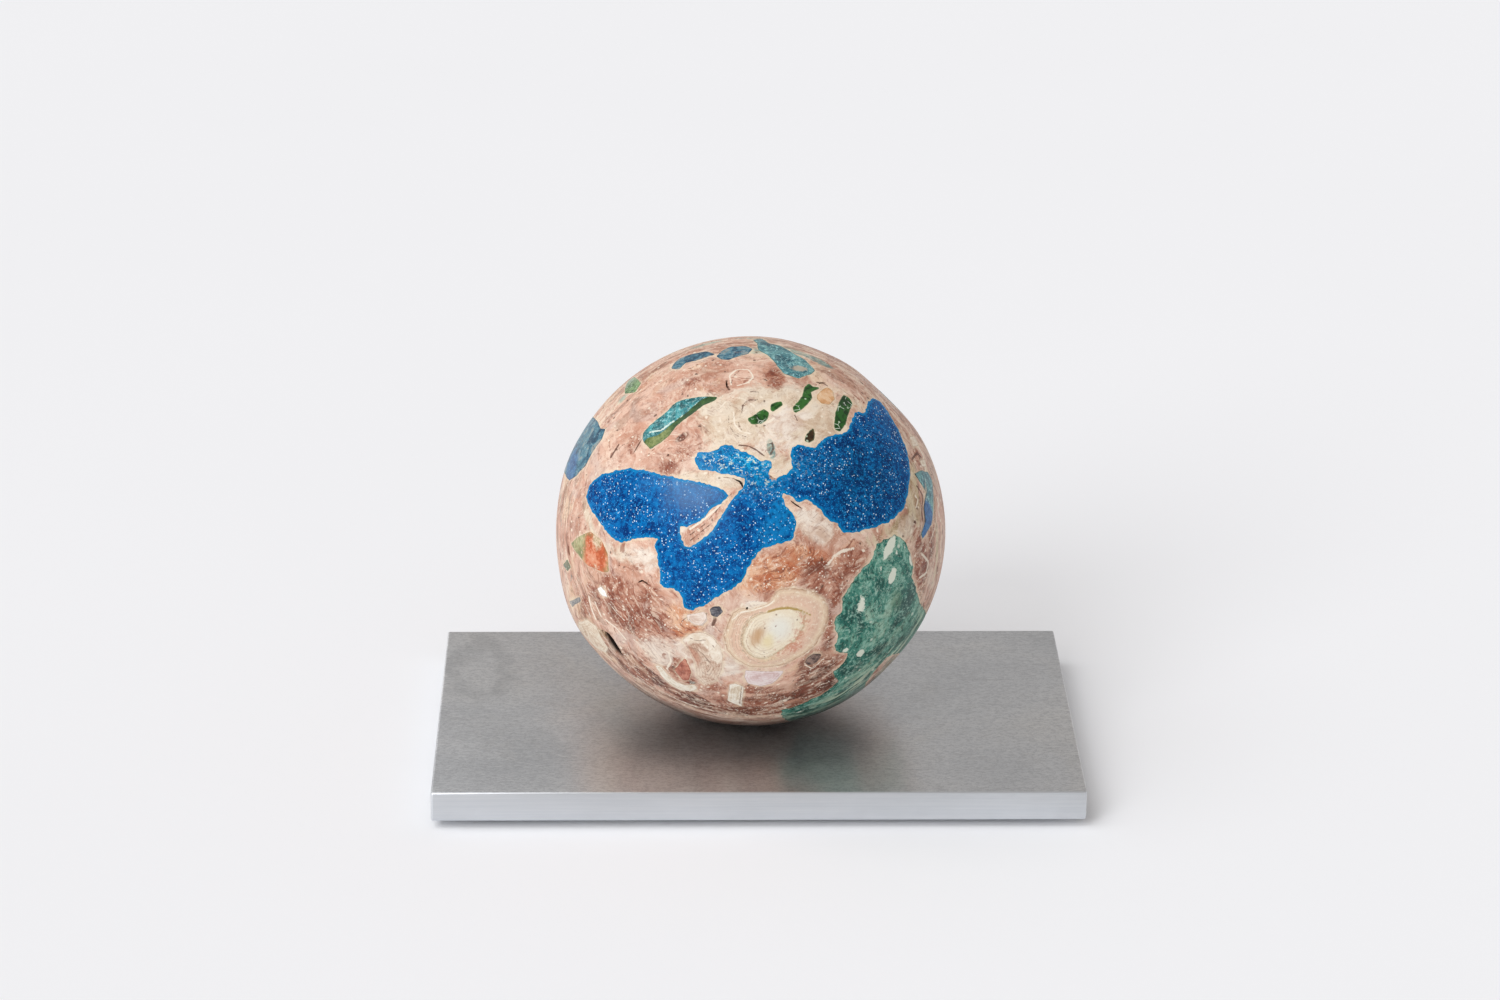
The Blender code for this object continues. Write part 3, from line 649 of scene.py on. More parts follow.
# Thin curved marks: points, width in hundredths of the radius, strength
MARKS = {
    "pale_mark": (
        (((-8.8, 61), (-8.4, 55), (-5.6, 51.2), (-0.5, 50)), 1.0, 0.8),
        (((5, 59.6), (6.4, 56.6), (9.6, 56), (12, 58)), 1.2, 0.9),
        (((40, -17), (43, -13), (47, -10.5), (53, -9)), 1.8, 0.7),
        (((-42, -63), (-41, -67), (-43, -71)), 1.6, 0.7),
        (((-16, 63), (-10, 69), (-4, 68), (2, 64)), 1.4, 0.6),
        (((-14, 42), (-13, 50), (-16, 58)), 1.4, 0.5),
        (((-10, 75), (-11, 80), (-7, 83), (-1, 83), (1.5, 79), (-2, 76), (-7, 74.6)), 1.2, 0.7),
        (((88, -12), (91.5, -16), (90, -22), (87, -24)), 1.4, 0.9),
        (((-83, -34), (-82, -39), (-79.6, -45)), 1.3, 1.0),
        (((-80, -36.6), (-78.6, -40), (-76.8, -44)), 1.0, 0.9),
        (((-74.6, -45.6), (-69, -50), (-64, -56)), 1.0, 0.9),
        (((-72, -38), (-69, -42), (-65, -46)), 0.8, 0.7),
        (((92, 42), (94, 34), (96, 20), (96.6, 6)), 1.0, 0.8),
        (((94.6, 28), (96, 14), (94.8, 2), (92, -6)), 0.9, 0.9),
        (((84.6, 18), (86, 16), (85, 12)), 1.0, 0.8),
        (((-38, -70), (-34, -67), (-33, -64)), 1.2, 0.6),
        (((-86, -48), (-80, -54), (-75, -62), (-71, -66)), 1.4, 0.7),
        (((0.5, -37.5), (5, -37), (10.7, -37.8)), 1.4, 1.0),
        (((28, -69), (32, -71), (37, -66)), 0.8, 0.8),
        (((-90, 12), (-88, 2), (-90, -6)), 1.0, 0.5),
        (((-12, 17), (-19, 10), (-26, 4.5), (-31, 1)), 1.4, 0.9),
        (((86, 44), (89, 38), (90, 30)), 1.6, 0.9),
        (rim_arc(94, -28, 24), 0.8, 0.7),
        (rim_arc(97, -36, 40), 0.8, 0.6),
        (rim_arc(95, -52, -38), 1.2, 0.7),
        (rim_arc(91, -48, -40), 0.8, 0.6),
        (rim_arc(93, 196, 232), 1.4, 0.5),
        (rim_arc(94.5, 232, 256), 0.9, 0.7),
        (((-52, -70), (-44, -77), (-34, -83), (-22, -86)), 0.8, 0.6),
        (((-60, -56), (-52, -62), (-46, -68)), 1.4, 0.6),
        (((-63, -60), (-55, -67), (-48, -72)), 1.0, 0.6),
    ),
    "dark_mark": (
        (((-5.6, 58.6), (-4.6, 62.5), (-2, 66), (3.6, 67.6)), 1.3, 0.62),
        (((-11.2, 60), (-11.4, 55), (-9, 50.8), (-2.5, 48.4)), 0.7, 0.6),
        (((-6.6, 57), (-6, 53.4), (-3, 50.6)), 0.6, 0.6),
        (((-71.9, 37.9), (-70, 41), (-67.9, 44.2)), 1.5, 1.0),
        (((-68.5, 41.6), (-66, 44), (-62.7, 45.3)), 0.8, 0.7),
        (((-4.7, 60.5), (-4, 65), (-1, 67.4), (2.5, 67.2)), 1.1, 0.8),
        (((-6, 44), (-1, 43.6), (3, 41.5), (7, 38.5)), 0.9, 0.9),
        (((10, 38.6), (11.6, 42), (11, 45.4)), 1.6, 0.7),
        (((0, 71.6), (4, 71.3)), 0.7, 0.9),
        (((-10, 76), (-8.6, 80), (-5, 82.6)), 0.7, 0.7),
        (((-10, 76), (-7.5, 75), (-3, 76), (1, 79)), 0.6, 0.5),
        (((-3, 47), (-9, 50), (-10, 56), (-7, 62)), 0.8, 0.6),
        (((-12, 47), (-15, 54), (-12, 60)), 0.6, 0.5),
        (((8, 48), (1, 50), (-2, 54)), 0.6, 0.6),
        (((5, 46), (-1, 47), (-5, 51), (-6, 56)), 0.6, 0.5),
        (((72, -62), (80, -55), (86, -46)), 0.9, 0.8),
        (((78, -60), (86, -50), (90, -38)), 0.7, 0.8),
        (((89, 34), (94, 22), (95, 8)), 0.9, 0.5),
        (((82, 38), (86, 30), (86, 20), (88, 10)), 0.8, 0.8),
        (((92, -8), (93.5, -20), (92, -32)), 0.9, 0.6),
        (((81.4, 34), (82, 31), (81.8, 28)), 1.8, 1.0),
        (((83, 37), (85.4, 40), (87.6, 38)), 1.4, 1.0),
        (((85.4, 23), (88.6, 18), (87.8, 10), (88.8, 3), (87, -3)), 1.3, 0.9),
        (((84.2, 4.8), (84.8, 4.2)), 1.2, 1.2),
        (((-18.6, -43.6), (-18.2, -46), (-19.4, -48)), 2.0, 1.0),
        (((-17, -98.2), (-12, -98.8), (-9, -98.6)), 1.8, 1.2),
        (((28, -67.4), (29.4, -64.6), (33, -62.8)), 1.0, 0.8),
        (((-76, -51.4), (-74.2, -54)), 2.4, 0.6),
        (((-12.6, 77), (-12, 74), (-11, 72.6)), 1.4, 0.8),
        (((34, 76.4), (37.6, 75.8), (39.4, 74.6)), 1.2, 0.9),
        (((22.6, 59.6), (24, 56.6)), 0.8, 0.8),
        (((-30, -66), (-25, -70), (-18, -68)), 0.6, 0.5),
        (((-36, -55), (-30, -50.5), (-20, -51), (-12, -58), (-11, -68)), 0.7, 0.5),
        (((-26, -78), (-20, -84), (-10, -86)), 0.7, 0.5),
        (((-60, 58), (-54, 63), (-50, 66)), 0.6, 0.35),
        (((-10, 19), (-17, 11), (-24, 3), (-31, -2)), 0.8, 0.8),
        (((-20, 4), (-26, -1), (-31, -5)), 0.8, 0.8),
        (((-4, 24.5), (-9, 27), (-14, 27.6)), 0.8, 0.8),
        (((-36, -47), (-33, -44.6), (-28.6, -44), (-25, -46)), 0.6, 0.7),
        (rim_arc(92.5, -30, 16), 0.7, 0.5),
        (rim_arc(95.6, -34, 36), 0.7, 0.55),
        (rim_arc(98, -46, 30), 0.7, 0.5),
        (rim_arc(93.4, -54, -42), 0.9, 0.8),
        (rim_arc(95, 158, 200), 0.8, 0.5),
    ),
}


def mark_line(places):
    """Directions at close steps along a mark, its corners eased."""
    line = traced(places, 12)
    for turn in range(8):
        line[1:-1] = (line[:-2] + line[1:-1] + line[2:]) / 3
    return made_unit(line)


def mark_weights(directions, marks):
    """How strongly thin marks show at each point."""
    total = np.zeros(len(directions))
    for places, width, strength in marks:
        line = mark_line(places)
        middle = middle_of(line)
        near = directions @ middle > (line @ middle).min() - 0.05
        gap = np.full(len(directions), 9.0)
        gap[near] = reach_to(tree_of(line), directions[near])
        total = np.maximum(total, strength * np.exp(-((gap / (width / 170)) ** 2)))
    return total


def dress(piece, directions, stains, marks):
    """Keeps how strongly each named stain, mark and patch of painted shade or highlight shows at every point of the
    piece.
    """
    for name, places in stains.items():
        put_attribute(piece, name, stain_weights(directions, places))
    for name, lines in marks.items():
        put_attribute(piece, name, mark_weights(directions, lines))


# ---------------------------------------------------------------- building materials from nodes

def srgb(red, green, blue):
    """A colour named by its 0 to 255 values, as the shader wants it."""
    made = []
    for value in (red, green, blue):
        value /= 255
        made.append(value / 12.92 if value <= 0.04045 else ((value + 0.055) / 1.055) ** 2.4)
    return (*made, 1.0)


class Finish:
    """A material on Object coordinates, with short ways to add the nodes it is made of."""

    def __init__(self, name, roughness=0.4, specular=0.5, metallic=0.0):
        self.material = bpy.data.materials.new(name)
        self.material.use_nodes = True
        self.tree = self.material.node_tree
        self.shader = self.tree.nodes["Principled BSDF"]
        self.shader.inputs["Roughness"].default_value = roughness
        self.shader.inputs["Specular IOR Level"].default_value = specular
        self.shader.inputs["Metallic"].default_value = metallic
        self.place = self.tree.nodes.new("ShaderNodeTexCoord").outputs["Object"]

    def add(self, kind, inputs=None, **settings):
        node = self.tree.nodes.new(kind)
        for key, value in settings.items():
            setattr(node, key, value)
        for key, value in (inputs or {}).items():
            if isinstance(value, bpy.types.NodeSocket):
                self.tree.links.new(value, node.inputs[key])
            else:
                node.inputs[key].default_value = value
        return node

    def noise(self, scale, detail=4.0, rough=0.5, warp=0.0, at=None):
        node = self.add("ShaderNodeTexNoise", {"Vector": at or self.place, "Scale": scale, "Detail": detail,
                                               "Roughness": rough, "Distortion": warp})
        return node.outputs["Fac"]

    def cells(self, scale, feature="F1", at=None):
        """Cells of a size, as their distance and their colour by chance."""
        return self.add("ShaderNodeTexVoronoi", {"Vector": at or self.place, "Scale": scale}, feature=feature).outputs

    def chance(self, cells, channel=0):
        return self.add("ShaderNodeSeparateColor", {0: cells["Color"]}).outputs[channel]

    def part(self, vector, axis):
        return self.add("ShaderNodeSeparateXYZ", {0: vector}).outputs[axis]

    def number(self, operation, a, b=0.0):
        return self.add("ShaderNodeMath", {0: a, 1: b}, operation=operation).outputs[0]

    def times(self, a, b):
        return self.number("MULTIPLY", a, b)

    def plus(self, a, b):
        return self.number("ADD", a, b)

    def step(self, value, low, high, to_low=0.0, to_high=1.0):
        """A smooth change from one number to another while the value goes from low to high."""
        return self.add("ShaderNodeMapRange", {"Value": value, "From Min": low, "From Max": high, "To Min": to_low,
                                               "To Max": to_high}, interpolation_type="SMOOTHSTEP").outputs[0]

    def thin_line(self, value, level, half):
        """A line where the value passes a level."""
        return self.times(self.step(value, level - half, level), self.step(value, level + half, level))

    def mix(self, share, colour, tone):
        """The colour with a share of the tone in it, which is a socket or three numbers up to 255."""
        tone = tone if isinstance(tone, bpy.types.NodeSocket) else srgb(*tone)
        return self.add("ShaderNodeMix", {0: share, 6: colour, 7: tone}, data_type="RGBA").outputs[2]

    def over(self, colour, tone, value, low, high, most=1.0):
        """The colour with the tone over it, from none where the value is low to most where it is high."""
        return self.mix(self.step(value, low, high, 0.0, most), colour, tone)

    def ramp(self, value, *stops):
        node = self.add("ShaderNodeValToRGB", {"Fac": value})
        ramp = node.color_ramp
        while len(ramp.elements) < len(stops):
            ramp.elements.new(0.5)
        for element, (where, colour) in zip(ramp.elements, stops):
            element.position = where
            element.color = srgb(*colour)
        return node.outputs["Color"]

    def kept(self, name):
        """What the piece keeps at its points under that name; 0 where it keeps nothing."""
        return self.add("ShaderNodeAttribute", attribute_name=name).outputs["Fac"]

    def stretched(self, scale=(1, 1, 1), move=(0, 0, 0), at=None):
        """The place with its axes scaled and moved, for drawn-out grain or for another part of a noise."""
        return self.add("ShaderNodeMapping", {"Vector": at or self.place, "Location": move,
                                              "Scale": scale}).outputs["Vector"]

    def facing(self, squeeze=1.0, at=None):
        """The place from the ball's middle, right, up and towards the front; squeezed, grain runs round the rim."""
        node = self.add("ShaderNodeMapping", {"Vector": at or self.place, "Location": BALL_CENTRE,
                                              "Rotation": FACE_TURNED, "Scale": (squeeze, squeeze, 1)},
                        vector_type="TEXTURE")
        return node.outputs["Vector"]

    def along(self, degrees, length, at=None):
        """Face-on coordinates drawn out, so that grain runs that many degrees above the right."""
        node = self.add("ShaderNodeMapping", {"Vector": self.facing(at=at), "Scale": (length, 1, 1),
                                              "Rotation": (0, 0, math.radians(degrees))}, vector_type="TEXTURE")
        return node.outputs["Vector"]

    def painted_shade_underneath(self, colour):
        """The colour, darkened with painted shade near the bottom, where the ball comes down to the plate, and round
        its lower front rim.
        """
        height = self.number("SUBTRACT", self.part(self.place, "Z"), BALL_CENTRE.z)
        low = self.step(height, -0.86 * BALL_RADIUS, -0.965 * BALL_RADIUS, 0.0, 0.88)
        towards = self.part(self.facing(), "Z")
        turned = self.times(self.step(towards, 0.36 * BALL_RADIUS, 0.12 * BALL_RADIUS, 0.0, 0.8),
                            self.step(height, -0.55 * BALL_RADIUS, -0.8 * BALL_RADIUS))
        front = self.step(self.part(self.place, "Y"), 0.15 * BALL_RADIUS, -0.15 * BALL_RADIUS)
        share = self.number("MAXIMUM", low, self.times(turned, front))
        # painted shade: dark grey-brown over the low and turned-away parts
        return self.mix(share, colour, (58, 52, 50))

    def around(self, centre, half_sizes, turn=0.0):
        """How far each place is from a centre, counted in an ellipse's half sizes."""
        node = self.add("ShaderNodeMapping", {"Vector": self.place, "Location": centre, "Rotation": (0, 0, turn),
                                              "Scale": half_sizes}, vector_type="TEXTURE")
        return self.add("ShaderNodeVectorMath", {0: node.outputs["Vector"]}, operation="LENGTH").outputs["Value"]

    def pushed(self, value, by, amount):
        """A value made ragged by a noise around one half."""
        return self.plus(value, self.times(self.number("SUBTRACT", by, 0.5), amount))

    def lucky_cells(self, scale, above, reach, core=None, at=None, channel=0):
        """Small dots in a few of the cells, chosen by chance; full within their core."""
        cells = self.cells(scale, at=at)
        near = self.step(cells["Distance"], reach, core or reach * 0.45)
        return self.times(near, self.number("GREATER_THAN", self.chance(cells, channel), above))

    def swirled(self, amount, scale, at=None):
        """The place pushed about by a slow noise, for grain that flows."""
        push = self.add("ShaderNodeTexNoise", {"Vector": at or self.place, "Scale": scale, "Detail": 2.0})
        middle = self.add("ShaderNodeVectorMath", {0: push.outputs["Color"], 1: (0.5, 0.5, 0.5)},
                          operation="SUBTRACT")
        grown = self.add("ShaderNodeVectorMath", {0: middle.outputs[0], "Scale": amount}, operation="SCALE")
        return self.add("ShaderNodeVectorMath", {0: at or self.place, 1: grown.outputs[0]},
                        operation="ADD").outputs[0]

    def bump(self, height, distance, strength):
        return self.add("ShaderNodeBump", {"Height": height, "Distance": distance,
                                           "Strength": strength}).outputs["Normal"]

    def finish(self, colour, roughness=None, normal=None):
        self.tree.links.new(colour, self.shader.inputs["Base Color"])
        if roughness is not None:
            self.tree.links.new(roughness, self.shader.inputs["Roughness"])
        if normal is not None:
            self.tree.links.new(normal, self.shader.inputs["Normal"])
        return self.material


# ---------------------------------------------------------------- the finishes

def swirled_mortar():
    """Pinkish mortar: clouds of clay, stains, layers at the rim, strokes, contour lines, grit and marks, with painted
    shade in its hollows, on its right side and underneath.
    """
    f = Finish("swirled mortar", roughness=0.45, specular=0.18)
    flow = f.swirled(10 * MM, 42)
    drift = f.swirled(3.5 * MM, 190, at=flow)
    broad = f.noise(34, 5, 0.6, 0.8, at=flow)
    tint = f.noise(48, 5, 0.6, 1.0, at=f.stretched(move=(0.4, 0.1, 0.7), at=flow))
    patches = f.noise(115, 7, 0.72, 0.7, at=drift)
    cloud = f.step(patches, 0.37, 0.63)
    grain = f.noise(560, 5, 0.75, 0.5, at=drift)
    fleck = f.noise(850, 4, 0.7, 0.4, at=f.stretched(move=(0.31, 0.12, 0.23), at=drift))
    sand = f.noise(2100, 2, 0.6)

    colour = f.ramp(cloud, (0.0, (190, 140, 118)), (0.3, (209, 167, 147)), (0.65, (219, 185, 166)),
                    (1.0, (232, 206, 188)))
    colour = f.over(colour, (222, 168, 142), broad, 0.42, 0.62, 0.4)
    colour = f.over(colour, (206, 186, 176), tint, 0.56, 0.66, 0.5)
    colour = f.over(colour, (228, 200, 162), tint, 0.44, 0.36, 0.45)
    edge = f.pushed(f.times(f.number("SUBTRACT", patches, 0.5), 2.2), grain, 1.2)
    busy = f.step(f.noise(170, 4, 0.6, 0.6, at=flow), 0.46, 0.60, 0.0, 0.55)
    # how soft the edge of each clay is, and its tones from dark to light
    clays = {
        "beige": (0.4, (0.0, (164, 138, 104)), (0.5, (196, 174, 138)), (1.0, (220, 204, 174))),
        "cream": (0.45, (0.0, (202, 176, 150)), (0.3, (218, 198, 174)), (1.0, (231, 217, 198))),
        "chalk": (0.35, (0.0, (206, 178, 158)), (0.4, (224, 204, 188)), (1.0, (240, 228, 214))),
        "orange": (0.4, (0.0, (186, 106, 70)), (0.5, (212, 150, 114)), (1.0, (232, 190, 158))),
        "russet": (0.4, (0.0, (112, 62, 48)), (0.35, (150, 90, 70)), (0.65, (176, 120, 98)), (1.0, (200, 152, 130))),
        "plum": (0.35, (0.0, (78, 44, 34)), (0.4, (112, 68, 54)), (0.75, (146, 98, 80)), (1.0, (186, 142, 120))),
        "teal": (0.35, (0.0, (92, 130, 128)), (0.5, (138, 164, 156)), (1.0, (190, 192, 172))),
    }
    paints = {}
    for name, (soft, *tones) in clays.items():
        paints[name] = f.ramp(cloud, *tones)
        near = f.kept(name)
        present = f.times(f.plus(near, f.times(edge, 0.6)), f.step(near, 0.03, 0.2))
        share = f.step(present, 0.18, 0.18 + soft)
        colour = f.mix(share, colour, paints[name])
        if name in ("orange", "russet", "plum"):
            busy = f.number("MAXIMUM", busy, share)
    calm = f.step(f.kept("cream"), 0.3, 1.0, 1.0, 0.4)
    towards = f.part(f.facing(), "Z")
    behind = f.step(towards, 0.15 * BALL_RADIUS, -0.1 * BALL_RADIUS)
    heaps = f.noise(17, 5, 0.6, 1.2, at=flow)
    for low, high, paint in ((0.53, 0.60, paints["russet"]), (0.46, 0.40, paints["cream"])):
        colour = f.mix(f.times(f.step(heaps, low, high, 0.0, 0.85), behind), colour, paint)

    # layers that run round the rim, as the clay was folded
    rim = f.step(towards, 0.80 * BALL_RADIUS, 0.28 * BALL_RADIUS, 0.10, 1.0)
    ring = f.facing(4.5, at=drift)
    layers = f.noise(430, 4, 0.6, 0.3, at=ring)
    wider = f.noise(190, 4, 0.6, 0.5, at=ring)
    for value, low, high, tone, most in ((wider, 0.54, 0.62, (232, 204, 178), 0.55),
                                         (wider, 0.46, 0.38, (168, 116, 92), 0.6),
                                         (layers, 0.55, 0.61, (246, 230, 208), 0.5),
                                         (layers, 0.45, 0.39, (106, 64, 48), 0.5)):
        colour = f.mix(f.times(f.step(value, low, high, 0.0, most), rim), colour, tone)

    # rust-red and pale mottling, thickest in the russet clay
    rust = f.times(f.step(grain, 0.50, 0.62, 0.0, 0.7), f.step(busy, 0.0, 1.0, 0.16, 1.0))
    colour = f.mix(f.times(rust, calm), colour, f.mix(0.6, colour, (138, 72, 54)))
    bright = f.times(f.step(fleck, 0.55, 0.63, 0.0, 0.6), f.step(busy, 0.0, 1.0, 0.3, 1.0))
    colour = f.mix(bright, colour, f.mix(0.6, colour, (246, 228, 208)))
    # brush-like strokes, down to the right on the left side and up to the right on the other
    lively = f.step(busy, 0.0, 1.0, 0.35, 1.0)
    rightward = f.step(f.part(f.facing(), "X"), -0.2 * BALL_RADIUS, 0.15 * BALL_RADIUS)
    left_strokes = f.noise(760, 4, 0.66, 0.3, at=f.along(-52, 4.5, at=drift))
    right_strokes = f.noise(760, 4, 0.66, 0.3, at=f.along(34, 4.5, at=drift))
    strokes = f.plus(f.times(left_strokes, f.number("SUBTRACT", 1.0, rightward)), f.times(right_strokes, rightward))
    colour = f.mix(f.times(f.step(strokes, 0.54, 0.63, 0.0, 0.6), lively), colour, (240, 216, 194))
    dark = f.times(f.step(strokes, 0.46, 0.37, 0.0, 0.7), f.times(calm, lively))
    colour = f.mix(dark, colour, (122, 62, 46))
    specks = f.times(f.lucky_cells(1500, 0.84, 0.42, at=drift), f.step(busy, 0.2, 1.0, 0.1, 0.9))
    colour = f.mix(specks, colour, (252, 242, 226))
    slashes = f.noise(420, 4, 0.6, 0.8, at=f.facing(2.6, at=flow))
    colour = f.mix(f.times(f.step(slashes, 0.63, 0.68, 0.0, 0.7), calm), colour, (146, 84, 62))

    # thin wandering contour lines, some pale and some brown
    bands = f.noise(75, 5, 0.62, 1.6, at=flow)
    for level, tone, most in ((0.46, (140, 94, 70), 0.6), (0.52, (248, 234, 214), 0.65),
                              (0.575, (122, 84, 64), 0.5)):
        line = f.thin_line(bands, level, 0.007)
        some = f.step(f.noise(60, 3, at=f.stretched(move=(level, 0, 0))), 0.46, 0.58)
        colour = f.mix(f.times(f.times(line, some), most), colour, tone)

    # grit: a few pale shell crumbs and dark grains
    colour = f.mix(f.times(f.lucky_cells(560, 0.88, 0.36, at=drift), 0.85), colour, (242, 228, 208))
    colour = f.mix(f.times(f.lucky_cells(480, 0.93, 0.30, at=drift, channel=1), 0.8), colour, (84, 56, 44))

    colour = f.over(colour, (242, 230, 212), f.pushed(f.kept("pale_mark"), grain, 1.4), 0.35, 0.65, 0.9)
    colour = f.over(colour, (92, 56, 42), f.pushed(f.kept("dark_mark"), grain, 1.4), 0.4, 0.7, 0.85)
    # painted shade from the deep patches, on the ball's right side, lower right and underside
    colour = f.over(colour, (96, 62, 52), f.kept("deep"), 0.0, 1.0, 0.3)
    beside = f.plus(f.kept("beside"), f.times(edge, 0.7))
    halo = f.times(f.step(beside, 0.5, 1.0, 0.0, 0.6), f.step(f.kept("plum"), 0.1, 0.6, 1.0, 0.2))
    colour = f.mix(halo, colour, (234, 216, 188))
    # painted shade: the pits, cracks and cleft turn near-black with their depth below the surface
    from_middle = f.add("ShaderNodeVectorMath", {0: f.place, 1: BALL_CENTRE}, operation="DISTANCE").outputs["Value"]
    depth = f.number("SUBTRACT", f.kept("skin"), from_middle)
    colour = f.over(colour, (24, 18, 16), depth, 0.2 * MM, 1.3 * MM, 0.97)
    # painted shade underneath, where the ball comes down to the plate
    colour = f.painted_shade_underneath(colour)

    height = f.plus(f.times(grain, 0.7), f.times(sand, 0.3))
    normal = f.bump(height, 0.22 * MM, 0.6)
    return f.finish(colour, f.step(patches, 0.4, 0.6, 0.38, 0.54), normal)


def sparkling_blue():
    """Deep blue glass full of frit crystals, paler at its thin rim, with a painted highlight over its left lobe."""
    f = Finish("sparkling blue glass", roughness=0.24, specular=0.1)
    cloud = f.step(f.noise(170, 5, 0.66, 0.5), 0.36, 0.64)
    fine = f.step(f.noise(780, 4, 0.7), 0.38, 0.62)
    colour = f.ramp(cloud, (0.0, (0, 52, 116)), (0.5, (0, 76, 144)), (1.0, (0, 100, 170)))
    navy = f.ramp(cloud, (0.0, (0, 42, 84)), (1.0, (0, 66, 116)))
    cyan = f.ramp(cloud, (0.0, (0, 116, 178)), (1.0, (24, 164, 212)))
    colour = f.mix(f.kept("navy"), colour, navy)
    colour = f.mix(f.kept("cyan"), colour, cyan)
    colour = f.over(colour, (16, 126, 188), f.kept("strip"), 0.3, 0.6, 0.7)
    colour = f.over(colour, (0, 44, 100), fine, 0.45, 0.0, 0.65)
    colour = f.over(colour, (10, 134, 200), fine, 0.6, 1.0, 0.45)
    # frit crystals, from many fine to a few coarse
    crowd = f.step(f.noise(140, 3, 0.6), 0.40, 0.6, -0.10, 0.07)
    for scale, bar, reach, tone, most in ((2600, 0.50, 0.50, (12, 122, 198), 0.85),
                                          (2100, 0.74, 0.48, (60, 162, 224), 0.9),
                                          (1800, 0.86, 0.45, (218, 240, 252), 1.0)):
        grain = f.cells(scale, at=f.swirled(0.7 * MM, 900))
        lucky = f.number("GREATER_THAN", f.plus(f.chance(grain), crowd), bar)
        near = f.step(grain["Distance"], reach, reach * 0.4)
        colour = f.mix(f.times(f.times(near, lucky), most), colour, tone)
    # coarse flecks, for the paler lobe
    coarse = f.noise(860, 4, 0.72, 0.8)
    colour = f.mix(f.times(f.kept("cyan"), f.step(coarse, 0.55, 0.61, 0.0, 0.9)), colour, (224, 234, 212))
    colour = f.mix(f.times(f.kept("cyan"), f.step(coarse, 0.46, 0.40, 0.0, 0.9)), colour, (0, 74, 132))
    # painted highlight: a soft lavender sheen of reflected light over the left lobe
    painted_sheen = f.pushed(f.kept("haze"), f.noise(120, 4, 0.6), 1.2)
    colour = f.over(colour, (96, 138, 184), painted_sheen, 0.2, 1.1, 0.55)
    # the thin rim, where light comes through
    rim = f.pushed(f.kept("inward"), f.noise(620, 3), 0.3)
    colour = f.over(colour, (0, 134, 192), rim, 0.30, 0.04, 0.75)
    colour = f.over(colour, (14, 58, 84), rim, 0.05, -0.04, 0.85)
    patch = f.pushed(f.kept("mortar_spot"), coarse, 1.2)
    colour = f.over(colour, f.ramp(coarse, (0.4, (110, 74, 58)), (0.6, (214, 178, 150))), patch, 0.35, 0.6)
    normal = f.bump(f.noise(900, 3), 0.08 * MM, 0.4)
    return f.finish(colour, f.step(f.noise(300, 3), 0.3, 0.7, 0.24, 0.38), normal)


def slate_blue_glass():
    """The weathered pieces near the top and the left rim."""
    f = Finish("slate blue glass", roughness=0.34, specular=0.2)
    flow = f.swirled(5 * MM, 110)
    veil = f.noise(210, 7, 0.7, 0.9, at=flow)
    fine = f.noise(900, 4, 0.72)
    colour = f.ramp(f.step(veil, 0.37, 0.63), (0.0, (30, 68, 92)), (0.35, (62, 111, 133)), (0.7, (98, 142, 155)),
                    (1.0, (148, 157, 155)))
    blue = f.ramp(f.step(veil, 0.36, 0.64), (0.0, (30, 72, 128)), (1.0, (74, 124, 170)))
    lower = f.pushed(f.kept("lower_part"), veil, 1.4)
    colour = f.over(colour, blue, lower, 0.35, 0.75, 0.85)
    pink = f.pushed(f.kept("island"), fine, 2.0)
    colour = f.over(colour, (178, 160, 146), pink, 0.35, 0.8, 0.8)
    colour = f.over(colour, (152, 186, 196), fine, 0.57, 0.65, 0.6)
    colour = f.over(colour, (34, 62, 80), fine, 0.44, 0.36, 0.6)
    rim = f.pushed(f.kept("inward"), fine, 0.3)
    colour = f.over(colour, (28, 66, 96), rim, 0.12, 0.02, 0.7)
    normal = f.bump(f.noise(700, 4), 0.1 * MM, 0.5)
    return f.finish(colour, f.step(veil, 0.3, 0.7, 0.26, 0.44), normal)


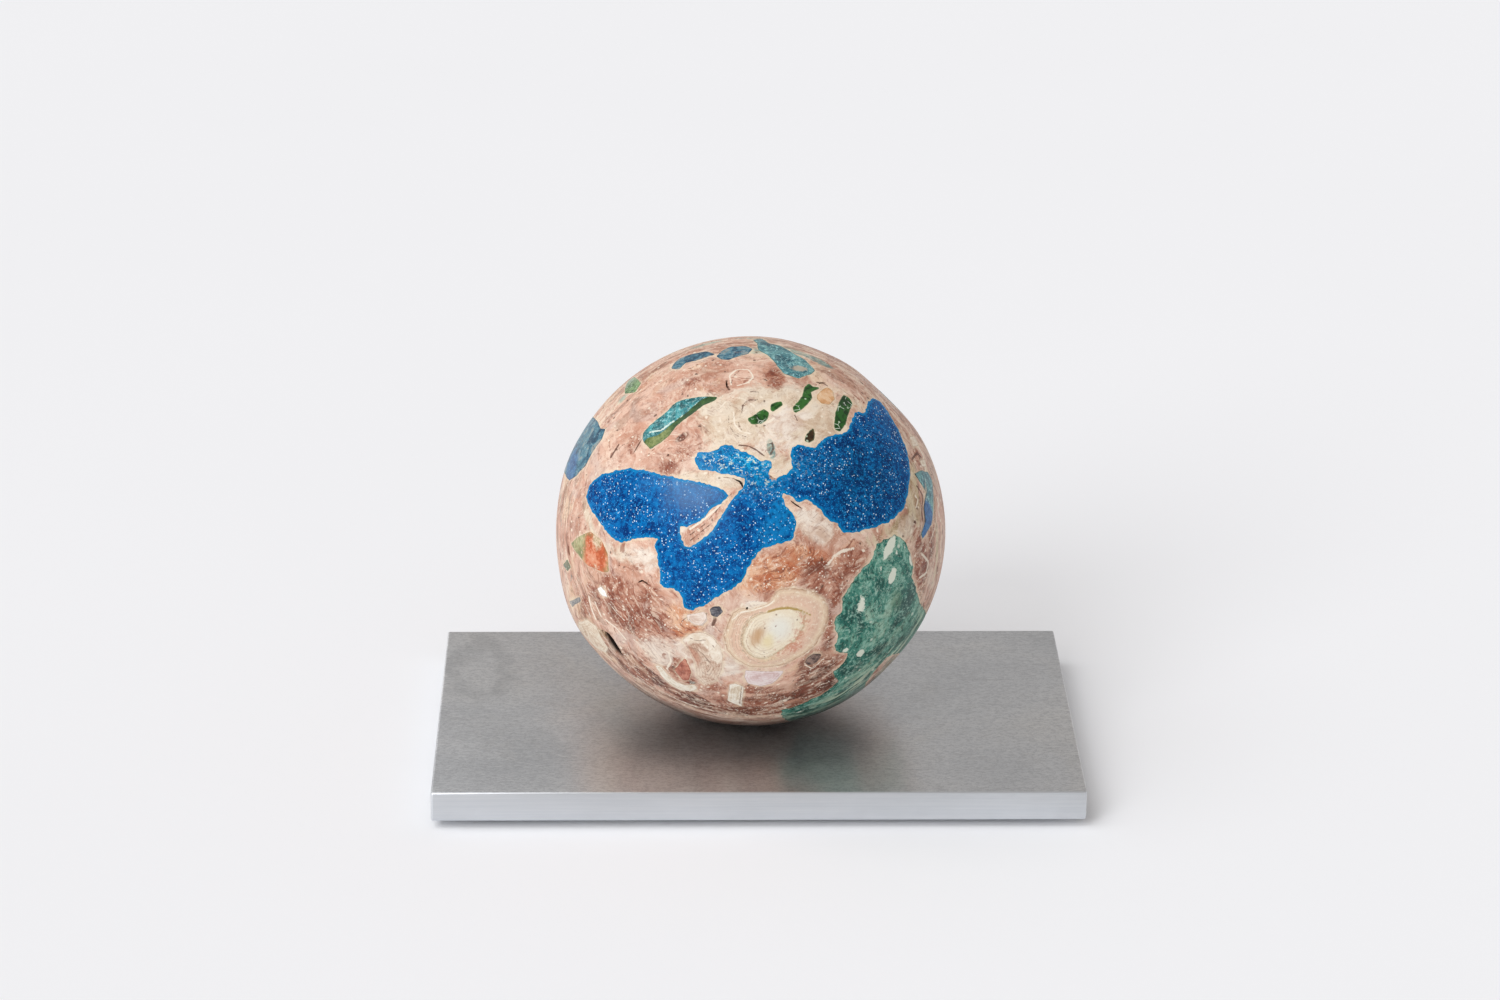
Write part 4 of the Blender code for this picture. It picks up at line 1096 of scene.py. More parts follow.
def weathered_teal(name, deep, middle, light, olive=False):
    """Frosted teal glass; the long piece has an olive strip along its cut edge and a pale lip."""
    f = Finish(name, roughness=0.34, specular=0.3)
    flow = f.swirled(6 * MM, 90)
    cloud = f.noise(190, 7, 0.7, 0.6, at=flow)
    fine = f.noise(900, 4, 0.72, 0.4)
    colour = f.ramp(f.step(cloud, 0.36, 0.64), (0.0, deep), (0.5, middle), (1.0, light))
    colour = f.over(colour, (160, 218, 220), fine, 0.55, 0.62, 0.75)
    colour = f.over(colour, deep, fine, 0.45, 0.36, 0.6)
    thin = f.noise(240, 6, 0.7, 1.2, at=flow)
    colour = f.mix(f.times(f.thin_line(thin, 0.5, 0.02), 0.4), colour, (196, 226, 220))
    lower = f.pushed(f.kept("lower_part"), cloud, 0.8)
    colour = f.over(colour, f.ramp(fine, (0.4, (20, 76, 134)), (0.6, (58, 124, 178))), lower, 0.4, 0.6)
    island = f.pushed(f.kept("island"), fine, 1.6)
    colour = f.over(colour, (188, 172, 152), island, 0.4, 0.75, 0.85)
    if olive:
        body = f.ramp(f.step(f.noise(420, 4, 0.7), 0.36, 0.64), (0.0, (26, 62, 26)), (1.0, (62, 98, 44)))
        body = f.mix(f.step(f.kept("olive"), 0.25, 0.7), body,
                     f.ramp(f.noise(900, 3, 0.7), (0.35, (84, 104, 48)), (0.65, (142, 152, 96))))
        strip = f.pushed(f.kept("cut_edge"), cloud, 0.5)
        colour = f.over(colour, body, strip, 0.42, 0.50)
        lip = f.pushed(f.kept("lip"), fine, 1.2)
        colour = f.over(colour, (222, 236, 224), lip, 0.35, 0.75, 0.9)
    colour = f.over(colour, (58, 88, 74), f.kept("inward"), 0.10, 0.02, 0.6)
    colour = f.over(colour, (30, 34, 32), f.pushed(f.kept("dark_side"), fine, 0.8), 0.35, 0.6, 0.9)
    colour = f.over(colour, (214, 200, 170), f.pushed(f.kept("pale_side"), fine, 0.8), 0.35, 0.6, 0.9)
    normal = f.bump(f.noise(600, 4), 0.1 * MM, 0.5)
    return f.finish(colour, f.step(cloud, 0.3, 0.7, 0.26, 0.42), normal)


def bottle_glass(name, deep, lit, cracks=0.0):
    """Clear bottle glass with pale flecks and, in some, fine cracks."""
    f = Finish(name, roughness=0.2, specular=0.35)
    cloud = f.noise(330, 4, 0.66, 0.8)
    colour = f.ramp(f.step(cloud, 0.38, 0.62), (0.0, deep), (1.0, lit))
    colour = f.mix(f.times(f.lucky_cells(700, 0.74, 0.34, 0.16), 0.7), colour, (206, 226, 196))
    if cracks:
        line = f.step(f.cells(420, feature="DISTANCE_TO_EDGE")["Distance"], 0.05, 0.015)
        some = f.step(f.noise(200, 3), 0.50, 0.58)
        colour = f.mix(f.times(f.times(line, some), cracks), colour, (226, 236, 220))
    colour = f.over(colour, (120, 140, 104), f.kept("inward"), 0.10, 0.02, 0.55)
    normal = f.bump(f.noise(500, 3), 0.08 * MM, 0.35)
    return f.finish(colour, f.step(cloud, 0.3, 0.7, 0.12, 0.24), normal)


def sea_green_stone():
    """Veined green stone with white chips and layers along its lower rim."""
    f = Finish("sea-green stone", roughness=0.4, specular=0.25)
    flow = f.swirled(7 * MM, 60)
    cloud = f.noise(70, 8, 0.66, 0.7, at=flow)
    fine = f.noise(420, 6, 0.72, 0.5, at=flow)
    colour = f.ramp(f.step(cloud, 0.36, 0.64), (0.0, (14, 72, 64)), (0.35, (36, 112, 98)), (0.7, (78, 142, 124)),
                    (1.0, (150, 182, 160)))
    colour = f.over(colour, (150, 196, 178), fine, 0.53, 0.60, 0.65)
    colour = f.over(colour, (8, 60, 50), fine, 0.46, 0.40, 0.75)
    tiny = f.noise(1100, 3, 0.7)
    colour = f.over(colour, (176, 208, 190), tiny, 0.56, 0.63, 0.5)
    colour = f.over(colour, (18, 60, 52), tiny, 0.43, 0.37, 0.5)
    colour = f.over(colour, (110, 122, 84), f.pushed(f.kept("olive"), fine, 0.7), 0.3, 0.75, 0.7)
    veins = f.noise(150, 7, 0.7, 1.4, at=flow)
    line = f.thin_line(veins, 0.5, 0.02)
    some = f.step(f.noise(60, 3), 0.42, 0.55)
    colour = f.mix(f.times(f.times(line, some), 0.6), colour, (176, 206, 186))
    # layers that run along the lower rim
    layers = f.noise(400, 5, 0.6, 0.3, at=f.facing(5.0, at=f.swirled(3 * MM, 120)))
    banded = f.times(f.kept("layered"), f.step(layers, 0.52, 0.56))
    colour = f.mix(f.times(banded, 0.95), colour, (204, 216, 188))
    gloom = f.times(f.kept("layered"), f.step(layers, 0.48, 0.43))
    colour = f.mix(f.times(gloom, 0.95), colour, (24, 52, 38))
    white = f.pushed(f.kept("white"), fine, 1.7)
    colour = f.over(colour, (226, 230, 214), white, 0.40, 0.62, 0.95)
    colour = f.mix(f.times(f.lucky_cells(260, 0.9, 0.24, 0.12, at=flow), 0.8), colour, (206, 216, 200))
    colour = f.over(colour, (30, 82, 66), f.pushed(f.kept("inward"), fine, 0.2), 0.12, 0.0, 0.7)
    # painted shade underneath, where the ball comes down to the plate
    colour = f.painted_shade_underneath(colour)
    normal = f.bump(f.plus(fine, f.noise(1100, 3)), 0.1 * MM, 0.6)
    return f.finish(colour, f.step(cloud, 0.3, 0.7, 0.28, 0.48), normal)


def layered_shell():
    """The large shell's growth rings round its paler inner oval."""
    f = Finish("layered shell", roughness=0.36, specular=0.25)
    place = f.swirled(1.6 * MM, 260)
    wave = f.noise(180, 4)
    growth = f.pushed(f.pushed(f.kept("growth"), wave, 0.05), f.noise(620, 3), 0.05)
    fine = f.noise(900, 5, 0.75, 0.4, at=place)
    colour = f.ramp(growth, (0.0, (176, 134, 108)), (0.03, (212, 182, 154)), (0.09, (232, 208, 180)),
                    (0.2, (222, 188, 164)), (0.34, (230, 196, 172)), (0.44, (230, 202, 174)), (0.49, (202, 180, 148)),
                    (0.53, (238, 224, 198)), (0.75, (238, 226, 204)), (1.0, (238, 230, 212)))
    for count, low, tone, most in ((70, 0.6, (190, 158, 132), 0.6), (150, 0.6, (246, 234, 212), 0.5),
                                   (110, 0.7, (160, 132, 108), 0.4)):
        rings = f.number("SINE", f.times(growth, count))
        broken = f.step(f.noise(120, 3, at=f.stretched(move=(count / 50, 0, 0))), 0.42, 0.56, 0.0, most)
        ringed = f.times(f.step(f.kept("left_side"), 0.0, 0.6, 0.25, 1.0), broken)
        colour = f.mix(f.times(f.step(rings, low, 1.0), ringed), colour, tone)
    colour = f.over(colour, (198, 152, 126), fine, 0.56, 0.66, 0.45)
    colour = f.over(colour, (250, 242, 224), fine, 0.46, 0.37, 0.5)
    pink = f.pushed(f.kept("pink"), fine, 3.0)
    colour = f.over(colour, (204, 136, 112), pink, 0.4, 1.0, 0.75)
    tan = f.pushed(f.kept("tan"), f.noise(300, 4), 0.7)
    colour = f.over(colour, (200, 160, 120), tan, 0.15, 1.1, 0.9)
    yellow = f.pushed(f.kept("yellow"), f.noise(300, 4), 0.7)
    colour = f.over(colour, (232, 214, 166), yellow, 0.15, 1.1, 0.8)
    colour = f.over(colour, (232, 234, 228), f.kept("pearl"), 0.2, 1.1, 0.6)
    colour = f.over(colour, (176, 146, 76), f.pushed(f.kept("gold"), fine, 0.6), 0.3, 0.8, 0.9)
    colour = f.over(colour, (164, 146, 122), f.pushed(f.kept("seam"), fine, 1.0), 0.35, 0.8, 0.7)
    colour = f.over(colour, (250, 242, 226), f.pushed(f.kept("crest"), fine, 0.8), 0.35, 0.8, 0.8)
    dots = f.times(f.lucky_cells(620, 0.80, 0.28, at=place), f.step(f.kept("growth"), 0.48, 0.54, 0.12, 1.0))
    colour = f.mix(f.times(dots, 0.75), colour, (128, 96, 78))
    normal = f.bump(f.plus(fine, f.times(growth, 4.0)), 0.16 * MM, 0.5)
    return f.finish(colour, None, normal)


def plain_shell(name, dark, middle, light, swirl=0.4):
    """Polished shell with faint rings that follow its outline."""
    f = Finish(name, roughness=0.36, specular=0.3)
    place = f.swirled(3 * MM, 180)
    cloud = f.noise(330, 6, 0.7, swirl, at=place)
    colour = f.ramp(f.step(cloud, 0.36, 0.64), (0.0, dark), (0.35, middle), (1.0, light))
    wave = f.times(f.number("SUBTRACT", f.noise(220, 4), 0.5), 9.0)
    turns = f.plus(f.times(f.kept("inward"), 32.0), wave)
    rings = f.number("SINE", turns)
    colour = f.over(colour, dark, rings, 0.45, 1.0, 0.35)
    colour = f.over(colour, light, rings, -0.5, -1.0, 0.3)
    specks = f.noise(1300, 3, 0.7)
    colour = f.over(colour, dark, specks, 0.58, 0.66, 0.5)
    arch = f.pushed(f.kept("arch"), cloud, 1.2)
    colour = f.over(colour, f.ramp(cloud, (0.4, (226, 208, 186)), (0.6, (246, 236, 220))), arch, 0.3, 0.7, 0.95)
    rust = f.pushed(f.kept("rust"), cloud, 1.6)
    colour = f.over(colour, f.ramp(specks, (0.4, (166, 106, 84)), (0.6, (204, 156, 132))), rust, 0.35, 0.7, 0.85)
    colour = f.over(colour, (146, 116, 98), f.pushed(f.kept("inner_line"), cloud, 1.2), 0.4, 0.7, 0.8)
    colour = f.over(colour, light, f.kept("inward"), 0.17, 0.08, 0.5)
    colour = f.over(colour, (150, 110, 88), f.pushed(f.kept("inward"), specks, 0.15), 0.06, 0.02, 0.6)
    return f.finish(colour, None, f.bump(f.plus(cloud, f.times(rings, 0.1)), 0.12 * MM, 0.5))


def dark_pebble(name, dark, middle, light):
    """A fine-grained pebble or chip."""
    f = Finish(name, roughness=0.36, specular=0.3)
    cloud = f.noise(420, 6, 0.7, 0.5)
    colour = f.ramp(f.step(cloud, 0.36, 0.64), (0.0, dark), (0.45, middle), (1.0, light))
    colour = f.over(colour, light, f.noise(1400, 3, 0.7), 0.56, 0.64, 0.6)
    colour = f.over(colour, dark, f.kept("inward"), 0.08, 0.02, 0.6)
    return f.finish(colour, None, f.bump(f.noise(800, 4), 0.1 * MM, 0.5))


def fired_glass(name, *patches):
    """Slag-like glass; a second set of colours lies in its heart and a paler one beside it."""
    f = Finish(name, roughness=0.3, specular=0.25)
    cloud = f.noise(260, 6, 0.68, 0.8)
    fine = f.noise(900, 4, 0.7)
    clear = f.step(cloud, 0.37, 0.63)
    colour = f.ramp(clear, *patches[0])
    if len(patches) > 1:
        heart = f.pushed(f.pushed(f.kept("heart"), cloud, 1.0), fine, 0.6)
        colour = f.over(colour, f.ramp(clear, *patches[1]), heart, 0.2, 0.75)
        fade = f.pushed(f.pushed(f.kept("faded"), cloud, 1.0), fine, 1.0)
        colour = f.over(colour, f.ramp(fine, *patches[2]), fade, 0.3, 0.8, 0.9)
    colour = f.over(colour, (240, 206, 180), fine, 0.57, 0.66, 0.55)
    colour = f.over(colour, (150, 92, 56), fine, 0.42, 0.34, 0.4)
    colour = f.over(colour, (134, 118, 84), f.kept("inward"), 0.08, 0.01, 0.5)
    return f.finish(colour, None, f.bump(f.noise(600, 4), 0.1 * MM, 0.45))


def brushed_plate():
    """Metal brushed along the plate's length, with a few marks of use."""
    f = Finish("brushed steel", roughness=0.36, metallic=1.0)
    f.shader.inputs["Anisotropic"].default_value = 0.92
    brushing = f.add("ShaderNodeTangent", direction_type="UV_MAP", uv_map="brushing")
    f.tree.links.new(brushing.outputs["Tangent"], f.shader.inputs["Tangent"])
    long_grain = f.noise(1500, 4, 0.7, at=f.stretched((0.02, 1.0, 1.0)))
    short_grain = f.noise(2600, 3, 0.7, at=f.stretched((0.18, 1.0, 1.0), move=(0.2, 0, 0)))
    speckle = f.noise(1150, 5, 0.8, at=f.stretched((0.7, 1.0, 1.0)))
    haze = f.noise(16, 5, 0.6, 0.8)
    blotch = f.noise(60, 5, 0.65, 0.6)
    colour = f.ramp(haze, (0.3, (211, 214, 218)), (0.5, (226, 228, 231)), (0.7, (232, 232, 232)))
    colour = f.over(colour, (208, 207, 205), blotch, 0.5, 0.7, 0.3)
    colour = f.over(colour, (186, 189, 194), long_grain, 0.4, 0.65, 0.14)
    colour = f.over(colour, (176, 178, 182), speckle, 0.45, 0.58, 0.45)
    colour = f.over(colour, (248, 249, 250), short_grain, 0.52, 0.64, 0.45)
    # marks of use: a worn ring at the left, a few fine scratches, and a faint dark line at the right
    top = PLATE_HIGH.z
    ring = f.pushed(f.around((-88.5 * MM, 29 * MM, top), (8.5 * MM, 19 * MM, 1)), f.noise(110, 4), 1.4)
    worn = f.times(f.step(ring, 0.45, 0.95), f.step(ring, 1.5, 1.05))
    colour = f.mix(f.times(worn, 0.2), colour, (150, 152, 154))
    for x, y, half, turn, tone, most in (
        (-87.8, -4.4, 9.3, 7, (236, 237, 239), 0.6), (-86.0, -9.6, 9.1, -4, (236, 237, 239), 0.6),
        (-90.0, -12.3, 6.3, 7, (236, 237, 239), 0.5), (-76.0, -8.0, 9.0, 5, (230, 231, 233), 0.3),
        (76.6, 21.9, 12.0, 0, (150, 150, 150), 0.4), (-40.0, 30.0, 30.0, 3, (226, 227, 229), 0.12),
        (40.0, -46.0, 26.0, -2, (176, 176, 176), 0.2), (60.0, -20.0, 20.0, 12, (226, 226, 226), 0.12),
    ):
        scratch = f.around((x * MM, y * MM, top), (half * MM, 0.3 * MM, 1), math.radians(turn))
        colour = f.over(colour, tone, scratch, 1.0, 0.5, most)
    front = f.step(f.part(f.place, "Y"), PLATE_LOW.y + 0.7 * MM, PLATE_LOW.y + 0.1 * MM)
    colour = f.mix(front, colour, f.ramp(long_grain, (0.3, (218, 222, 227)), (0.7, (226, 229, 233))))
    rough = f.plus(f.step(short_grain, 0.3, 0.7, 0.31, 0.39), f.step(haze, 0.3, 0.7, -0.02, 0.04))
    height = f.plus(long_grain, f.times(short_grain, 0.6))
    return f.finish(colour, rough, f.bump(height, 0.06 * MM, 0.35))


def black_rubber():
    f = Finish("black rubber", roughness=0.8, specular=0.3)
    colour = f.ramp(f.noise(400, 5), (0.3, (24, 24, 25)), (0.7, (42, 41, 40)))
    return f.finish(colour, f.step(f.noise(900, 3), 0.3, 0.7, 0.7, 0.88), f.bump(f.noise(1600, 3), 0.1 * MM, 0.5))


def pale_floor():
    f = Finish("pale floor", roughness=0.85, specular=0.2)
    colour = f.ramp(f.noise(3, 3), (0.3, (242, 243, 246)), (0.7, (243, 244, 247)))
    return f.finish(colour)


# ---------------------------------------------------------------- putting the object together

def seat(piece, node, material):
    """Gives a finished piece its material, and its place in the part."""
    piece.name = f"{node}_piece"
    piece.data.materials.clear()
    piece.data.materials.append(material)
    piece.data.polygons.foreach_set("material_index", [0] * len(piece.data.polygons))
    take(piece)
    bpy.ops.object.shade_smooth_by_angle(angle=math.radians(32))
    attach(piece, "root")
    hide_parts(node)
    return piece


# Stains of single fragments, with the blue glass's painted highlight among them, laid out as STAINS is; those of
# blue_glass go to every blue piece
FRAGMENT_STAINS = {
    "blue_glass": {
        "navy": ((56, 28, 28, 30, 0, 1.0),),
        "cyan": ((-8, 36, 22, 7, 0, 1.2), (6, 27, 8, 6, 0, 0.8)),
        # haze is a painted highlight, the sheen of a reflected light on the left lobe
        "haze": ((-32, 22, 20, 12, -14, 1.0), (-16, 15, 10, 8, -30, 0.5)),
        "lower_part": ((-92, 33, 7, 12, 0, 1.1), (-9, 88, 8, 3, 0, 0.4)),
        "island": ((-24, 88.6, 7, 1.8, 12, 0.8), (-5, 92, 5, 1.6, 0, 0.6), (-90, 51, 4, 4, 0, 0.35)),
        "mortar_spot": ((11.8, 29, 2.3, 2.6, 0, 1.0),),
    },
    "sea_glass_long": {"olive": ((-48.5, 46, 8, 5, 30, 1.2),)},
    "rim_sliver": {"lower_part": ((91, 3, 6, 11, 0, 1.3),), "island": ((90, 21, 2, 7, 0, 0.6),)},
    "teal_glass_top": {"island": ((25, 83.4, 4, 2.4, 20, 1.2), (6, 97, 6, 1, 0, 0.5))},
    "shell_swirl": {"rust": ((-30, -63, 3, 6, 35, 1.0), (-27, -69, 2, 3, 0, 0.5))},
    "orange_glass": {
        "heart": ((-80, -13, 8, 11, -10, 1.3), (-83, -6, 4, 5, 0, 0.9)),
        "faded": ((-79, -5, 3.4, 4.6, 30, 1.1), (-80, -18.6, 3, 2, 0, 0.6), (-79, -9.6, 2, 2, 0, 0.7)),
    },
    "green_stone": {
        "white": (
            (71.6, -8, 2.1, 5.6, -33, 1.6), (75, -11.2, 0.9, 1.2, 0, 1.0), (72.8, -23.4, 1.9, 3.2, -25, 1.6),
            (82.3, -14.7, 1.1, 2.6, 15, 1.4), (86, -20, 0.9, 3, 10, 0.9), (67, -19, 0.8, 2.4, 0, 0.7),
            (57, -37.5, 2.4, 5, -8, 0.75), (48.7, -61.3, 2, 1.2, 0, 0.9), (56.4, -63, 1.8, 1.8, 0, 1.7),
            (62, -21, 1.2, 3, -40, 0.5), (84, -22, 1, 5, 0, 0.7), (79, -8, 0.8, 2, 20, 0.7), (66, -30, 2, 2, 0, 0.4),
            (66, -46, 3, 2, 30, 0.35), (60, -55, 3, 2, 0, 0.35), (25, -93, 3, 0.8, 20, 0.8),
        ),
        "olive": ((75, -36, 7, 11, 0, 0.55), (72, -56, 5, 5, 30, 0.4)),
        "layered": ((72, -66, 14, 12, 45, 1.0), (50, -82, 20, 7, 28, 0.9), (86, -48, 6, 14, 20, 0.7),
                    (30, -92, 16, 5, 15, 0.7)),
    },
    "shell_large": {
        "left_side": ((-8, -52, 10, 18, 10, 1.2), (0, -66, 14, 5, 0, 0.9)),
        "yellow": ((9, -56, 3.4, 5, -20, 1.0), (10, -66, 8, 1.6, 10, 0.5)),
        "pink": ((25, -54, 3, 6, 25, 0.8), (27.6, -46, 2.4, 6, 20, 0.7), (16, -62.5, 6, 2, 25, 0.7),
                 (22, -59.5, 4.4, 3, 20, 1.1), (-1, -52, 2, 7, 15, 0.5), (34, -44, 2, 8, 0, 0.3)),
        "tan": ((3.4, -54.4, 3.4, 6, -30, 1.1), (7, -51, 4, 2, 0, 0.6)),
        "pearl": ((15, -50, 6, 7, 10, 1.1), (19, -47, 5, 4, 30, 0.6)),
    },
}

# Thin marks on single fragments, laid out as MARKS is
FRAGMENT_MARKS = {
    "blue_glass": {"strip": ((((16, 10), (14, 3), (10, -2)), 12, 1.0),)},
    "sea_glass_long": {
        "cut_edge": ((((-52.5, 45), (-47, 46.6), (-42, 50.4), (-36, 55.6), (-30, 60), (-24, 65.6), (-18, 68.4)),
                      6.0, 1.0),),
        "lip": (
            (((-52, 50.6), (-47, 51.4), (-44.4, 52.6), (-42, 55), (-39.3, 56.4)), 1.0, 1.1),
            (((-38, 57.2), (-34, 59.8), (-31.6, 62.7), (-27.6, 65.6)), 0.7, 0.8),
        ),
    },
    "rim_sliver": {
        "dark_side": (
            (((83.4, 31), (86, 26), (89.6, 20), (88.8, 12), (89.6, 5)), 1.6, 1.0),
            (((84, 30.6), (88, 31.4), (92, 30)), 1.0, 0.7),
        ),
        "pale_side": ((((94, 26), (95, 16), (94.6, 6)), 1.0, 1.0),),
    },
    "shell_swirl": {
        "arch": ((((-35, -57), (-30, -55), (-24, -55), (-19, -59), (-16.4, -66)), 7.0, 1.0),),
        "inner_line": (
            (((-33, -59.6), (-28, -60.6), (-23.4, -64.4), (-21, -68)), 0.9, 0.9),
            (((-31, -55.4), (-27, -56.6), (-23, -56)), 0.8, 0.9),
            (((-19.6, -59), (-18, -61.6)), 0.8, 0.8),
            (((-26, -70), (-24.5, -66.6), (-20.6, -67), (-19, -71), (-21.4, -74.4), (-24.6, -73)), 0.8, 0.7),
            (((-23.6, -70), (-22, -69), (-21, -71), (-22.6, -72.6)), 0.7, 0.7),
        ),
    },
    "shell_crescent": {
        "inner_line": ((((-32.6, -44.6), (-29, -48), (-25, -48.6), (-22.6, -45.6), (-22.8, -43)), 0.9, 0.8),),
    },
    "shell_tab": {"inner_line": ((((-4.6, -80), (-5.2, -85), (-5.6, -89)), 0.9, 0.9),)},
    "shell_large": {
        "gold": (
            (((9, -41.6), (14, -40), (19, -39.6), (24, -40.4)), 1.3, 1.1),
            (((22, -40), (27, -41.4), (31, -43.4)), 0.9, 0.9),
        ),
        "seam": (
            (((-4, -62), (-5.2, -56), (-3.8, -50), (-1.4, -45.6), (2, -42.8), (7, -41.6)), 0.9, 0.9),
            (((-4.5, -60), (-1, -65.6), (5, -68), (11, -66)), 1.0, 0.7),
            (((-7.5, -58), (-6.4, -52), (-3, -45)), 0.7, 0.5),
            (((5, -38.9), (9, -38.2), (12, -36)), 0.9, 0.5),
        ),
        "crest": (
            (((-1, -60), (-2.2, -55), (-1, -50), (1.6, -46.4)), 0.7, 0.8),
            (((-9.6, -46), (-5, -41.8), (2, -40.6), (9, -38.4), (12, -36)), 1.0, 0.9),
            (((2.4, -62), (7, -63.4), (12, -60.6)), 0.7, 0.7),
            (((20, -33), (28, -33.4), (35, -38)), 0.9, 0.5),
            (((-8.6, -60), (-3, -66), (4, -68.6), (14, -67)), 0.8, 0.6),
        ),
    },
}

# The edge of the large shell's inner oval
SHELL_INNER = ((-4.2, -55), (-3, -50.4), (-0.7, -45.8), (2.1, -43.6), (6.7, -42.4), (13.5, -40.4), (19.8, -39.9),
               (25.5, -40.7), (27.8, -42.4), (27.4, -47), (25.5, -52.1), (22.1, -56.7), (16.4, -60.1),
               (11.8, -63.5), (7.3, -66.1), (2.1, -65.3), (-1.9, -62.4), (-3.9, -59))


def grow_large_shell(piece, directions, loop):
    """Growth from 0 at the shell's rim through 0.5 at the inner oval's edge to 1 in its middle."""
    oval = rounded(even_steps(directions_of(SHELL_INNER), 0.5 * MM), 2.0)
    middle = middle_of(oval)
    to_rim = reach_to(tree_of(loop), directions)
    nearest = tree_of(oval)
    to_oval = reach_to(nearest, directions)
    to_middle = np.linalg.norm(directions - middle, axis=1)
    edges = np.array([nearest.find(d)[0][:] for d in directions])
    inside = to_middle < np.linalg.norm(edges - middle, axis=1)
    outer_share = 0.5 * to_rim / (to_rim + to_oval + 1e-6)
    inner_share = 0.5 + 0.5 * to_oval / (to_oval + to_middle + 1e-6)
    put_attribute(piece, "growth", np.where(inside, inner_share, outer_share))


def looks_by_node():
    """The finish of each fragment."""
    cream_shell = plain_shell("cream shell", (196, 164, 134), (226, 204, 178), (240, 228, 208))
    white_shell = plain_shell("white shell", (236, 224, 210), (248, 242, 232), (252, 250, 246))
    pale_shell = plain_shell("pale shell", (210, 190, 164), (234, 222, 202), (246, 240, 226))
    blush_shell = plain_shell("blush shell", (212, 186, 170), (228, 208, 192), (242, 230, 220))
    pearl = plain_shell("pearl shell", (208, 178, 172), (224, 202, 200), (236, 224, 220), 0.2)
    swirl_shell = plain_shell("swirled shell", (178, 140, 118), (208, 180, 158), (232, 214, 194), 1.2)
    slag = fired_glass("orange slag glass",
                       ((0.0, (128, 132, 88)), (0.5, (164, 158, 112)), (1.0, (186, 184, 140))),
                       ((0.0, (184, 84, 44)), (0.5, (206, 110, 70)), (1.0, (222, 150, 116))),
                       ((0.4, (176, 164, 126)), (0.6, (228, 206, 178))))
    honey = fired_glass("honey glass", ((0.0, (206, 154, 106)), (0.5, (222, 176, 132)), (1.0, (232, 198, 162))))
    finishes = (
        (sparkling_blue(), ("blue_glass", "blue_glass_back", "blue_glass_back_low")),
        (slate_blue_glass(), ("blue_glass_left_rim", "blue_glass_top_left", "blue_glass_top", "blue_glass_right")),
        (weathered_teal("weathered teal glass", (24, 78, 92), (62, 124, 134), (120, 168, 166)),
         ("teal_glass_top", "rim_sliver", "teal_glass_back")),
        (weathered_teal("sea glass", (8, 66, 72), (30, 112, 118), (70, 160, 166), olive=True), ("sea_glass_long",)),
        (bottle_glass("green bottle glass", (8, 44, 8), (48, 104, 38), cracks=0.7),
         ("green_glass_short", "green_glass_end", "green_glass_bent", "green_glass_back")),
        (bottle_glass("cracked bottle glass", (6, 46, 8), (36, 92, 30), cracks=0.95),
         ("green_glass_bottle_edge", "green_glass_back_end")),
        (bottle_glass("pale green glass", (56, 96, 48), (138, 170, 116), cracks=0.4), ("green_glass_crumb",)),
        (bottle_glass("brown bottle glass", (40, 26, 10), (78, 56, 24)), ("brown_glass",)),
        (bottle_glass("olive glass", (78, 82, 58), (120, 120, 88)), ("olive_chip",)),
        (sea_green_stone(), ("green_stone", "green_stone_back")),
        (layered_shell(), ("shell_large",)),
        (cream_shell, ("shell_long", "cream_pebble", "cream_bean", "shell_back_high", "shell_back_left")),
        (white_shell, ("white_pebble",)),
        (pale_shell, ("shell_tab", "shell_hook")),
        (blush_shell, ("shell_crescent",)),
        (pearl, ("pearl_flake",)),
        (swirl_shell, ("shell_swirl", "shell_back")),
        (dark_pebble("dark pebble", (62, 48, 46), (104, 82, 76), (156, 128, 114)), ("plum_pebble", "pebble_back")),
        (dark_pebble("grey pebble", (52, 52, 60), (82, 82, 90), (132, 130, 132)), ("grey_pebble",)),
        (dark_pebble("grey chip", (110, 112, 114), (142, 140, 136), (176, 168, 160)), ("grey_chip",)),
        (dark_pebble("brick shard", (138, 72, 54), (172, 98, 76), (208, 146, 122)), ("brick_shard",)),
        (slag, ("orange_glass",)),
        (honey, ("amber_pebble", "amber_glass_back")),
    )
    return {node: finish for finish, nodes in finishes for node in nodes}


def build():
    """Makes every piece and seats it in place of its node."""
    ball, fragments, outlines = build_ball()
    refine(ball, facing=0.28)
    refine_near(ball, MARKS["pale_mark"] + MARKS["dark_mark"], reach=0.9 * MM)
    directions = wear_mortar(ball, outlines)
    dress(ball, directions, STAINS, MARKS)
    seat(ball, "ball", swirled_mortar())

    looks = looks_by_node()
    for node, piece in fragments.items():
        proud = 0.03 * MM if "shell" in node else 0.06 * MM
        refine(piece, facing=0.1)
        spots = ease_edges(piece, outlines[node], proud, easing=0.7 * MM)
        kin = "blue_glass" if node.startswith("blue_glass") else node
        dress(piece, spots, FRAGMENT_STAINS.get(kin, {}), FRAGMENT_MARKS.get(kin, {}))
        if node == "shell_large":
            grow_large_shell(piece, spots, outlines[node])
        seat(piece, node, looks[node])

    seat(build_plate(), "plate", brushed_plate())
    rubber = black_rubber()
    for name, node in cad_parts.items():
        if name.startswith("pad_"):
            node.data.materials.clear()
            node.data.materials.append(rubber)


